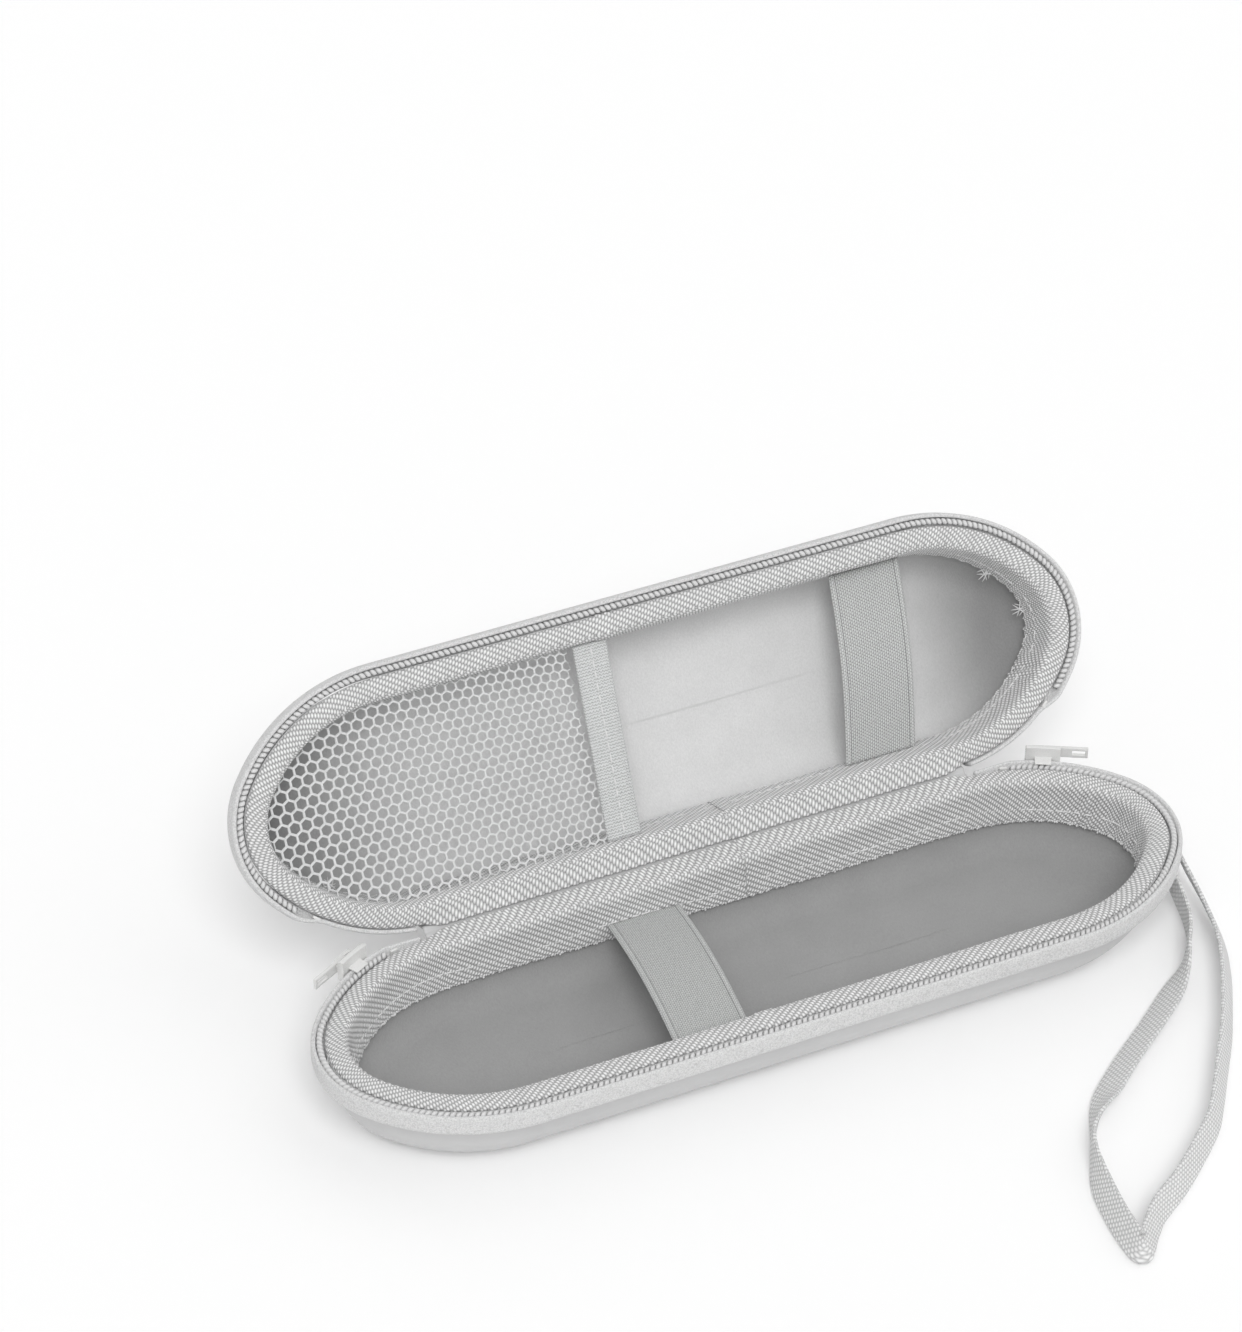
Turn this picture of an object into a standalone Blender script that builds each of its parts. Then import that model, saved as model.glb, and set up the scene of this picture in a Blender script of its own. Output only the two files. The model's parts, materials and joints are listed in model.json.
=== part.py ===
"""A hard shell travel case for an electric toothbrush, standing open on a table.

Two equal moulded halves share one outline. The base stands on its flat underside, and the lid turns
about the soft spine that joins the two long back edges. Each half is a leatherette cover, a foam shell
and a brushed lining, with a zip chain outside its rim, a woven binding over its rim and an elastic
strap inside. The lid also has a net pocket. A wrist strap hangs on a ring and a snap hook at the
right end of the spine.

All lengths are metres. X runs along the case, +Y points to the spine, +Z is up, and the origin is the
centre of the flat underside of the base.
"""
import math

import bmesh
import bpy
from mathutils import Matrix, Vector
from mathutils.geometry import delaunay_2d_cdt

# Outline of one half, measured over the outer edge of the zip chain
CASE_LENGTH = 0.240
CASE_WIDTH = 0.070
END_LENGTH = 0.045
TIP_RADIUS = 0.025
HALF_DEPTH = 0.025
FIT_GAP = 0.0003

# Moulded walls
COVER_SET_IN = 0.0026
COVER_THICKNESS = 0.0008
SHELL_THICKNESS = 0.0024
LINING_THICKNESS = 0.0007
WALL_TAPER = 0.0020
CORNER_RADIUS = 0.013
CORNER_START_ANGLE = math.radians(8)
RIM_DROP = 0.0018

# Binding over the rim
BINDING_SET_IN = 0.0029
BINDING_THICKNESS = 0.0010
BINDING_DEPTH = 0.0125
BINDING_ROLL = 0.0006

# Zip
SEAM_GAP = 0.0005
TAPE_HEIGHT = 0.0057
TAPE_PROUD = 0.0008
TAPE_THICKNESS = 0.0010
TAPE_EDGE = 0.0004
COIL_WIDTH = 0.0015
COIL_HEIGHT = 0.0020
TAPE_START_ANGLE = math.radians(5.8)
STOP_START_ANGLE = math.radians(14.0)
STOP_LENGTH = 0.0022
COIL_START_ANGLE = math.radians(17.8)
LID_TAPE_SET_IN = 0.0021
LID_TAPE_TURN_ANGLE = math.radians(34.2)
LID_TAPE_OUT_ANGLE = math.radians(36.4)
LID_STOP_START_ANGLE = math.radians(36.8)
LID_COIL_START_ANGLE = math.radians(41.0)

# Spine and lid hinge
SPINE_OVERRUN = 0.0030
SPINE_THICKNESS = 0.0010
SPINE_REACH = 0.0105
SPINE_FOLD_RADIUS = 0.0011
HINGE_SET_IN = 0.0011
LID_OPEN_ANGLE = math.radians(125)

# Elastic straps
STRAP_WIDTH = 0.0205
STRAP_THICKNESS = 0.0012
STRAP_END_DEPTH = 0.0085
BASE_STRAP_RISE = 0.0028
LID_STRAP_RISE = 0.0030
BASE_STRAP_BACK_X = -0.0205
BASE_STRAP_FRONT_X = -0.0235
LID_STRAP_BACK_X = 0.0583
LID_STRAP_FRONT_X = 0.0655

# Net pocket in the lid
NET_DEPTH = 0.0040
NET_THICKNESS = 0.0008
NET_PITCH = 0.0046
NET_STRAND = 0.0011
NET_BORDER = 0.0016
POCKET_BAND_WIDTH = 0.0095
POCKET_BAND_THICKNESS = 0.0014
POCKET_BAND_BACK_X = -0.0185
POCKET_BAND_FRONT_X = -0.0157

# Zip sliders
SLIDER_LENGTH = 0.0090
SLIDER_WIDTH = 0.0066
SLIDER_THICKNESS = 0.0019
SLIDER_EDGE = 0.0007
SLIDER_FIN_THICKNESS = 0.0004
SLIDER_PARK_ANGLE = math.radians(28)
BRIDGE_LENGTH = 0.0052
BRIDGE_HEIGHT = 0.0026
BRIDGE_WIDTH = 0.0012
BRIDGE_WALL = 0.0009
PULL_LENGTH = 0.0110
PULL_WIDTH = 0.0032
PULL_THICKNESS = 0.0009
PULL_BAR = 0.0008
PULL_EYE_LENGTH = 0.0026
PULL_ARM = 0.0007
PULL_HOLE_LENGTH = 0.0036
PULL_HOLE_WIDTH = 0.0014

# Ring and hook of the wrist strap
HARDWARE_DROP = 0.0004
TAB_WIDTH = 0.0074
TAB_THICKNESS = 0.0016
TAB_START_ANGLE = math.radians(4.6)
TAB_EYE_ANGLE = math.radians(13.4)
TAB_EYE_WALL = 0.0008
RING_WIRE_RADIUS = 0.0007
RING_HEIGHT = 0.0088
RING_LENGTH = 0.0090
RING_HEADING = math.radians(0)
RING_PLAY = 0.0005
HOOK_HEADING = math.radians(-16)
HOOK_THICKNESS = 0.0026
HOOK_RADIUS = 0.0031
HOOK_BAR = 0.0012
HOOK_NOSE_ANGLE = math.radians(232)
HOOK_REACH = 0.0092
SHANK_LENGTH = 0.0022
EYE_BAR_RADIUS = 0.0008
EYE_HEIGHT = 0.0102
EYE_LENGTH = 0.0042
GATE_THICKNESS = 0.0011
GATE_EYE_WALL = 0.0005
GATE_PIN_RADIUS = 0.0005
GATE_BAR = 0.0009

# Wrist strap of narrow webbing: its route on the table in shares of the case's length
WEBBING_WIDTH = 0.0080
WEBBING_THICKNESS = 0.0012
SEWN_END_LENGTH = 0.0120
SEWN_END_HEADING = math.radians(-50)
STRAP_DROP_LENGTH = 0.0480
TABLE_CLEARANCE = 0.0003
STRAP_INNER_SHARES = (
    (0.4960, 0.0060),
    (0.4900, -0.0400), (0.4790, -0.0980), (0.4520, -0.1417), (0.4167, -0.1771), (0.3688, -0.2146),
    (0.3167, -0.2521), (0.2688, -0.2917), (0.2333, -0.3313), (0.2125, -0.3667), (0.2000, -0.4042),
    (0.1938, -0.4500), (0.1925, -0.5040),
)
STRAP_OUTER_SHARES = (
    (0.2333, -0.4646), (0.2750, -0.4375), (0.3146, -0.4063), (0.3500, -0.3750), (0.3729, -0.3458),
    (0.4021, -0.3042), (0.4313, -0.2625), (0.4563, -0.2208), (0.4813, -0.1750), (0.5000, -0.1292),
    (0.5100, -0.0790), (0.5130, -0.0300), (0.5120, 0.0060),
)

# Fineness of the curved work, in counts
SIDE_STEPS = 6
TIP_STEPS = 6
CORNER_STEPS = 6
INNER_CORNER_STEPS = 4
FOLD_STEPS = 6
STRAP_STEPS = 8
WEBBING_STEPS = 3
SLIDER_STEPS = 3
ROUND_STEPS = 12
WIRE_STEPS = 8
RING_SIDE_STEPS = 3
EYE_CORNER_STEPS = 2
MITRE_LIMIT = 0.5

SIDE_RADIUS = ((END_LENGTH - TIP_RADIUS) ** 2 + (CASE_WIDTH / 2) ** 2 - TIP_RADIUS ** 2) / (
    CASE_WIDTH - 2 * TIP_RADIUS)
STRAIGHT_HALF = CASE_LENGTH / 2 - END_LENGTH
SIDE_CENTRE_Y = CASE_WIDTH / 2 - SIDE_RADIUS
TIP_CENTRE_X = CASE_LENGTH / 2 - TIP_RADIUS
JUNCTION_ANGLE = math.atan2(-SIDE_CENTRE_Y, TIP_CENTRE_X - STRAIGHT_HALF)
HINGE_Y = CASE_WIDTH / 2 - HINGE_SET_IN
SPINE_HALF = STRAIGHT_HALF + SPINE_OVERRUN
HARDWARE_HEIGHT = HALF_DEPTH - SEAM_GAP - TAPE_HEIGHT - HARDWARE_DROP - RING_HEIGHT / 2 - RING_WIRE_RADIUS
RIM_Z = HALF_DEPTH - RIM_DROP
CORNER_CENTRE_D = COVER_SET_IN + WALL_TAPER + CORNER_RADIUS
SHELL_OFFSET = COVER_THICKNESS + FIT_GAP
LINING_OFFSET = SHELL_OFFSET + SHELL_THICKNESS + FIT_GAP
BINDING_OFFSET = LINING_OFFSET + LINING_THICKNESS + FIT_GAP
INNER_FACE_OFFSET = BINDING_OFFSET + BINDING_THICKNESS

COLOURS = {
    "leatherette": ((0.66, 0.66, 0.67), 0.42, 0.10),
    "foam": ((0.60, 0.60, 0.60), 0.90, 0.0),
    "lining": ((0.50, 0.50, 0.51), 0.95, 0.0),
    "tape": ((0.80, 0.80, 0.80), 0.90, 0.0),
    "coil": ((0.66, 0.66, 0.67), 0.45, 0.0),
    "binding": ((0.56, 0.56, 0.57), 0.90, 0.0),
    "elastic": ((0.58, 0.59, 0.59), 0.90, 0.0),
    "net": ((0.60, 0.61, 0.61), 0.85, 0.0),
    "enamel": ((0.82, 0.82, 0.82), 0.30, 0.2),
    "metal": ((0.62, 0.62, 0.64), 0.20, 1.0),
    "webbing": ((0.66, 0.66, 0.66), 0.90, 0.0),
}


def clear_scene():
    for item in list(bpy.data.objects):
        bpy.data.objects.remove(item, do_unlink=True)


def make_material(name, finish):
    colour, roughness, metallic = COLOURS[finish]
    material = bpy.data.materials.new(name)
    material.use_nodes = True
    shader = material.node_tree.nodes["Principled BSDF"]
    shader.inputs["Base Color"].default_value = (*colour, 1.0)
    shader.inputs["Roughness"].default_value = roughness
    shader.inputs["Metallic"].default_value = metallic
    return material


def add_object(name, mesh_work, finish, parent=None, smooth_angle=math.radians(40)):
    """Turns a bmesh into a named object with outward faces and its own material."""
    bmesh.ops.recalc_face_normals(mesh_work, faces=mesh_work.faces)
    mesh = bpy.data.meshes.new(name)
    mesh_work.to_mesh(mesh)
    mesh_work.free()
    mesh.shade_smooth()
    mesh.set_sharp_from_angle(angle=smooth_angle)
    mesh.materials.append(make_material(name, finish))
    item = bpy.data.objects.new(name, mesh)
    bpy.context.collection.objects.link(item)
    item.parent = parent
    return item


def add_empty(name, location, parent=None, turn=0.0, axis="Z"):
    """An empty on a joint's axis, which carries the pieces that turn about it."""
    empty = bpy.data.objects.new(name, None)
    bpy.context.collection.objects.link(empty)
    empty.parent = parent
    empty.location = location
    empty.rotation_euler = Matrix.Rotation(turn, 4, axis).to_euler()
    return empty


# Outline: straight sides, side arcs and a tip arc at each end

def arc_stations(centre, radius, start, end, steps):
    """Points and outward directions along one arc, from the start angle to the end angle."""
    stations = []
    for step in range(steps + 1):
        angle = start + (end - start) * step / steps
        out = Vector((math.cos(angle), math.sin(angle)))
        stations.append((Vector(centre) + out * radius, out))
    return stations


def end_stations(side):
    """One end of the outline from the spine's side to the front: side is 1 at the right, -1 at the left."""
    back = arc_stations((STRAIGHT_HALF, SIDE_CENTRE_Y), SIDE_RADIUS, math.pi / 2, JUNCTION_ANGLE, SIDE_STEPS)
    tip = arc_stations((TIP_CENTRE_X, 0), TIP_RADIUS, JUNCTION_ANGLE, -JUNCTION_ANGLE, TIP_STEPS)
    front = arc_stations(
        (STRAIGHT_HALF, -SIDE_CENTRE_Y), SIDE_RADIUS, -JUNCTION_ANGLE, -math.pi / 2, SIDE_STEPS)
    stations = back + tip[1:] + front[1:]
    return [(Vector((side * p.x, p.y)), Vector((side * n.x, n.y))) for p, n in stations]


def full_loop():
    return list(reversed(end_stations(1))) + end_stations(-1)


def chord_station(stations, angle):
    """A place on the shared chords of the first side arc, and the number of the station before it."""
    place = angle / (math.pi / 2 - JUNCTION_ANGLE) * SIDE_STEPS
    before = int(place)
    share = place - before
    p0, n0 = stations[before]
    p1, n1 = stations[before + 1]
    return (p0.lerp(p1, share), n0.lerp(n1, share)), before


def chain_end(side, start_angle):
    stations = end_stations(side)
    first, before = chord_station(stations, start_angle)
    return [first] + stations[before + 1:]


def chain_path(start_angle):
    """The open path of the zip, from the spine's right end round the front to its left end."""
    return chain_end(1, start_angle) + list(reversed(chain_end(-1, start_angle)))


def section_points(mesh_work, station, section):
    point, out = station
    return [mesh_work.verts.new((point.x - out.x * d, point.y - out.y * d, z)) for d, z in section]


def bridge_rings(mesh_work, rings, closed_section):
    """Quads between neighbouring rings of points."""
    count = len(rings[0])
    last = count if closed_section else count - 1
    for ring, following in zip(rings[:-1], rings[1:]):
        for k in range(last):
            n = (k + 1) % count
            mesh_work.faces.new((ring[k], ring[n], following[n], following[k]))


def sweep(stations, sections, closed):
    """A closed section carried along the outline: each station has its own section of inset and height."""
    mesh_work = bmesh.new()
    rings = [section_points(mesh_work, s, section) for s, section in zip(stations, sections)]
    if closed:
        bridge_rings(mesh_work, rings + [rings[0]], True)
    else:
        bridge_rings(mesh_work, rings, True)
        mesh_work.faces.new(rings[0])
        mesh_work.faces.new(rings[-1])
    return mesh_work


def place_half(mesh_work, in_lid):
    """The lid's closed form is the base turned over in the seam plane, about the hinge axis's own origin."""
    if in_lid:
        bmesh.ops.scale(mesh_work, vec=(1, 1, -1), verts=mesh_work.verts)
        bmesh.ops.translate(mesh_work, vec=(0, -HINGE_Y, HALF_DEPTH), verts=mesh_work.verts)
    return mesh_work


# Moulded walls of one half

def wall_top(offset):
    return COVER_SET_IN + offset, RIM_Z


def corner_point(offset, angle):
    radius = CORNER_RADIUS - offset
    return CORNER_CENTRE_D - radius * math.cos(angle), CORNER_RADIUS - radius * math.sin(angle)


def wall_inset(height, offset):
    """How far inside the outline the tapered wall lies at a height, for a face offset inwards."""
    top_d, top_z = wall_top(offset)
    low_d, low_z = corner_point(offset, CORNER_START_ANGLE)
    return top_d + (low_d - top_d) * (top_z - height) / (top_z - low_z)


def wall_profile(offset, steps):
    """The wall's face from the rim down to the edge of the flat floor."""
    profile = [wall_top(offset)]
    for step in range(steps + 1):
        angle = CORNER_START_ANGLE + (math.pi / 2 - CORNER_START_ANGLE) * step / steps
        profile.append(corner_point(offset, angle))
    return profile


def make_layer(name, outer, thickness, steps, finish, half, in_lid):
    """One moulded layer: an outer face, a flat rim and an inner face, with flat floors."""
    profile = list(reversed(wall_profile(outer, steps))) + wall_profile(outer + thickness, steps)
    mesh_work = bmesh.new()
    rings = [section_points(mesh_work, station, profile) for station in full_loop()]
    bridge_rings(mesh_work, rings + [rings[0]], False)
    mesh_work.faces.new([ring[0] for ring in rings])
    mesh_work.faces.new([ring[-1] for ring in rings])
    return add_object(name, place_half(mesh_work, in_lid), finish, half)


def make_binding(name, half, in_lid):
    """The woven binding lies over the rim and down the inside of the wall."""
    top = HALF_DEPTH - FIT_GAP
    under = RIM_Z + FIT_GAP
    low = top - BINDING_DEPTH
    outer_d = COVER_SET_IN + BINDING_OFFSET
    inner_d = COVER_SET_IN + INNER_FACE_OFFSET
    section = [
        (BINDING_SET_IN, under),
        (BINDING_SET_IN, top - BINDING_ROLL),
        (BINDING_SET_IN + BINDING_ROLL, top),
        (inner_d - BINDING_ROLL, top),
        (inner_d, top - BINDING_ROLL),
        (wall_inset(low, INNER_FACE_OFFSET), low),
        (wall_inset(low, BINDING_OFFSET), low),
        (outer_d, under),
    ]
    stations = full_loop()
    mesh_work = sweep(stations, [section] * len(stations), True)
    return add_object(name, place_half(mesh_work, in_lid), "binding", half)


# Zip chain of one half

def tape_shift(station):
    """How far the tape is drawn in so that it stays in front of the hinge axis."""
    point, out = station
    if out.y <= 0:
        return 0.0
    outer_y = point.y + out.y * TAPE_PROUD
    return max(0.0, (outer_y - (HINGE_Y - FIT_GAP)) / out.y)


def lid_tape_end(side):
    """Stations and set-in of the lid's tape: set in beside the slider, so that the lid can swing past it."""
    loop = end_stations(side)
    first, before = chord_station(loop, TAPE_START_ANGLE)
    turn, last = chord_station(loop, LID_TAPE_TURN_ANGLE)
    out, following = chord_station(loop, LID_TAPE_OUT_ANGLE)
    set_in = [first] + loop[before + 1:last + 1] + [turn]
    free = [out] + loop[following + 1:]
    return [(station, LID_TAPE_SET_IN) for station in set_in] + [(station, 0.0) for station in free]


def tape_stations(in_lid):
    if in_lid:
        return lid_tape_end(1) + list(reversed(lid_tape_end(-1)))
    return [(station, tape_shift(station)) for station in chain_path(TAPE_START_ANGLE)]


def tape_section(shift):
    face = shift - TAPE_PROUD
    back = face + TAPE_THICKNESS
    top = HALF_DEPTH - SEAM_GAP
    low = top - TAPE_HEIGHT
    ledge = top - COIL_HEIGHT - FIT_GAP
    return [
        (wall_inset(low, -FIT_GAP), low),
        (face + TAPE_EDGE, low),
        (face, low + TAPE_EDGE),
        (face, top - TAPE_EDGE),
        (face + TAPE_EDGE, top),
        (back, top),
        (back, ledge),
        (wall_inset(ledge, -FIT_GAP), ledge),
    ]


def make_tape(name, half, in_lid):
    stations = tape_stations(in_lid)
    mesh_work = sweep([s for s, _ in stations], [tape_section(shift) for _, shift in stations], False)
    return add_object(name, place_half(mesh_work, in_lid), "tape", half)


def coil_section():
    near = TAPE_THICKNESS - TAPE_PROUD + FIT_GAP
    far = near + COIL_WIDTH
    top = HALF_DEPTH - SEAM_GAP
    low = top - COIL_HEIGHT
    edge = COIL_WIDTH / 4
    middle = (top + low) / 2
    return [
        (near, middle),
        (near + edge, top),
        (far - edge, top),
        (far, middle),
        (far - edge, low),
        (near + edge, low),
    ]


def make_coil(name, start_angle, half, in_lid):
    stations = chain_path(start_angle)
    mesh_work = sweep(stations, [coil_section()] * len(stations), False)
    return add_object(name, place_half(mesh_work, in_lid), "coil", half)


def make_stop(name, side, start_angle, half, in_lid):
    """An end stop of the chain, between the coil and the spine."""
    near = TAPE_THICKNESS + TAPE_PROUD / 2
    far = near + COIL_WIDTH / 2
    top = HALF_DEPTH - SEAM_GAP
    low = top - COIL_HEIGHT
    section = [(near, low), (near, top), (far, top), (far, low)]
    loop = end_stations(side)
    stations = [chord_station(loop, start_angle + turn)[0] for turn in (0, STOP_LENGTH / SIDE_RADIUS)]
    mesh_work = sweep(stations, [section] * len(stations), False)
    return add_object(name, place_half(mesh_work, in_lid), "enamel", half)


# Straps that cross a half

def make_cross_band(name, finish, half, in_lid, width, thickness, depth, rise, back_x, front_x):
    """A flat band from wall to wall, crowned towards the opening: its ends sit on the binding."""
    end_z = HALF_DEPTH - depth
    reach = band_reach(depth)
    mesh_work = bmesh.new()
    rings = []
    for step in range(STRAP_STEPS + 1):
        share = step / STRAP_STEPS
        y = reach - 2 * reach * share
        x = back_x + (front_x - back_x) * share
        z = end_z + rise * math.sin(math.pi * share)
        rings.append([mesh_work.verts.new((x + dx, y, z + dz)) for dx, dz in (
            (-width / 2, -thickness / 2), (width / 2, -thickness / 2),
            (width / 2, thickness / 2), (-width / 2, thickness / 2))])
    bridge_rings(mesh_work, rings, True)
    mesh_work.faces.new(rings[0])
    mesh_work.faces.new(rings[-1])
    return add_object(name, place_half(mesh_work, in_lid), finish, half)


# Net pocket

def band_reach(depth):
    """Half the length of a band whose ends meet the binding at a depth under the seam."""
    return CASE_WIDTH / 2 - wall_inset(HALF_DEPTH - depth, INNER_FACE_OFFSET) - FIT_GAP


def pocket_mouth_x(y):
    """The pocket band's centre line at a place across the lid."""
    reach = band_reach(NET_DEPTH)
    share = (reach - y) / (2 * reach)
    return POCKET_BAND_BACK_X + (POCKET_BAND_FRONT_X - POCKET_BAND_BACK_X) * share


def net_outline(inset):
    """The left part of the lid's opening, cut off along the pocket band."""
    edge = POCKET_BAND_WIDTH / 2 + FIT_GAP
    points = [p - n * inset for p, n in end_stations(-1)]
    top_y = points[0].y
    points.append(Vector((pocket_mouth_x(-top_y) - edge, -top_y)))
    points.append(Vector((pocket_mouth_x(top_y) - edge, top_y)))
    return points


def inside_outline(point, outline, margin):
    """True where a point lies inside a convex outline by at least the margin."""
    count = len(outline)
    for k in range(count):
        a = outline[k]
        side = (outline[(k + 1) % count] - a).normalized()
        offset = point - a
        if side.x * offset.y - side.y * offset.x < margin:
            return False
    return True


def hexagon(centre, radius):
    turns = [k * math.pi / 3 for k in range(6)]
    return [centre + Vector((math.sin(turn), math.cos(turn))) * radius for turn in turns]


def net_holes(outline):
    """Centres of the hexagonal gaps: rows that are offset by half a pitch."""
    low_x = min(p.x for p in outline)
    low_y = min(p.y for p in outline)
    columns = int((max(p.x for p in outline) - low_x) / NET_PITCH) + 2
    row_step = NET_PITCH * math.sqrt(3) / 2
    rows = int((max(p.y for p in outline) - low_y) / row_step) + 2
    radius = (NET_PITCH - NET_STRAND) / math.sqrt(3)
    centres = []
    for row in range(rows):
        for column in range(columns):
            centre = Vector((low_x + (column + row % 2 / 2) * NET_PITCH, low_y + row * row_step))
            if inside_outline(centre, outline, NET_BORDER + radius):
                centres.append(centre)
    return centres, radius


def make_net(name, half):
    """A flat sheet with hexagonal gaps: the plane triangulation of its outline and gaps, made solid."""
    height = HALF_DEPTH - NET_DEPTH
    outline = net_outline(wall_inset(height - NET_THICKNESS, INNER_FACE_OFFSET) + FIT_GAP)
    centres, radius = net_holes(outline)
    points = list(outline)
    edges = [(k, (k + 1) % len(outline)) for k in range(len(outline))]
    for centre in centres:
        first = len(points)
        points += hexagon(centre, radius)
        edges += [(first + k, first + (k + 1) % 6) for k in range(6)]
    places, _, faces, _, _, _ = delaunay_2d_cdt(points, edges, [], 1, FIT_GAP / 1000)
    inner = radius * math.sqrt(3) / 2
    kept = []
    for face in faces:
        middle = sum((places[k] for k in face), Vector((0, 0))) / len(face)
        if min((middle - c).length for c in centres) > inner:
            kept.append(face)
    mesh_work = bmesh.new()
    upper = [mesh_work.verts.new((p.x, p.y, height)) for p in places]
    lower = [mesh_work.verts.new((p.x, p.y, height - NET_THICKNESS)) for p in places]
    borders = {}
    for face in kept:
        mesh_work.faces.new([upper[k] for k in face])
        mesh_work.faces.new([lower[k] for k in reversed(face)])
        for k, n in zip(face, face[1:] + face[:1]):
            borders[(k, n)] = (n, k)
    for edge, opposite in borders.items():
        if opposite not in borders:
            k, n = edge
            mesh_work.faces.new((upper[n], upper[k], lower[k], lower[n]))
    bmesh.ops.delete(mesh_work, geom=[v for v in mesh_work.verts if not v.link_faces], context="VERTS")
    return add_object(name, place_half(mesh_work, True), "net", half)


# Spine cover

def turn_open(y, z):
    """A place in the closed lid, measured from the hinge axis, after the lid has opened."""
    c = math.cos(-LID_OPEN_ANGLE)
    s = math.sin(-LID_OPEN_ANGLE)
    return y * c - z * s, y * s + z * c


def spine_line():
    """The strip's middle line across the hinge: up the base, round the fold and down the lid."""
    lift = FIT_GAP + SPINE_THICKNESS / 2
    hem_z = HALF_DEPTH - SPINE_REACH
    base_hem = (HINGE_SET_IN - wall_inset(hem_z, 0) + lift, -SPINE_REACH)
    base_top_y = HINGE_SET_IN - COVER_SET_IN + lift
    tangent = SPINE_FOLD_RADIUS * math.tan(LID_OPEN_ANGLE / 2)
    lid_run = turn_open(0, 1)
    apex_z = -base_top_y * math.tan(LID_OPEN_ANGLE / 2)
    centre = Vector((base_top_y + SPINE_FOLD_RADIUS, apex_z - tangent))
    line = [Vector(base_hem), Vector((base_top_y, -RIM_DROP))]
    for step in range(FOLD_STEPS + 1):
        angle = math.pi - LID_OPEN_ANGLE * step / FOLD_STEPS
        line.append(centre + Vector((math.cos(angle), math.sin(angle))) * SPINE_FOLD_RADIUS)
    line.append(Vector(turn_open(base_top_y, RIM_DROP)))
    line.append(Vector(turn_open(base_hem[0], SPINE_REACH)))
    return line


def line_normals(line):
    """The left-hand normal at each point of an open plane line."""
    normals = []
    for k in range(len(line)):
        before = line[max(k - 1, 0)]
        after = line[min(k + 1, len(line) - 1)]
        run = (after - before).normalized()
        normals.append(Vector((-run.y, run.x)))
    return normals


def make_spine(name):
    line = spine_line()
    normals = line_normals(line)
    half = SPINE_THICKNESS / 2
    section = [p + n * half for p, n in zip(line, normals)] + [
        p - n * half for p, n in zip(reversed(line), reversed(normals))]
    mesh_work = bmesh.new()
    rings = []
    for x in (-SPINE_HALF, SPINE_HALF):
        rings.append([mesh_work.verts.new((x, HINGE_Y + p.x, HALF_DEPTH + p.y)) for p in section])
    bridge_rings(mesh_work, rings, True)
    count = len(line)
    for ring in rings:
        for k in range(count - 1):
            mesh_work.faces.new((ring[k], ring[k + 1], ring[2 * count - 2 - k], ring[2 * count - 1 - k]))
    return add_object(name, mesh_work, "leatherette")


# Zip sliders

def slider_point(side, radius, angle, z):
    """A place near one slider's arc, measured from that arc's centre: the angle is counted from the spine."""
    return Vector((side * radius * math.sin(angle), radius * math.cos(angle), z))


def arc_block(mesh_work, side, inner, outer, start, end, low, high, edge=0.0):
    """A block bent along the zip's arc, with its outer long edges cut back."""
    rings = []
    for step in range(SLIDER_STEPS + 1):
        angle = start + (end - start) * step / SLIDER_STEPS
        section = [(inner, low), (outer - edge, low), (outer, low + edge), (outer, high - edge),
                   (outer - edge, high), (inner, high)]
        if edge == 0:
            section = [(inner, low), (outer, low), (outer, high), (inner, high)]
        rings.append([mesh_work.verts.new(slider_point(side, r, angle, z)) for r, z in section])
    bridge_rings(mesh_work, rings, True)
    mesh_work.faces.new(rings[0])
    mesh_work.faces.new(rings[-1])


def hidden_tool(name, mesh_work, parent):
    bmesh.ops.recalc_face_normals(mesh_work, faces=mesh_work.faces)
    mesh = bpy.data.meshes.new(name)
    mesh_work.to_mesh(mesh)
    mesh_work.free()
    item = bpy.data.objects.new(name, mesh)
    bpy.context.collection.objects.link(item)
    item.parent = parent
    item.hide_render = True
    item.display_type = "WIRE"
    return item


def combine(target, tool, operation):
    change = target.modifiers.new(tool.name, "BOOLEAN")
    change.operation = operation
    change.object = tool
    change.solver = "EXACT"


def plate_angle():
    return SLIDER_LENGTH / 2 / SIDE_RADIUS


def slider_face():
    return SIDE_RADIUS + TAPE_PROUD + FIT_GAP


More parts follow.
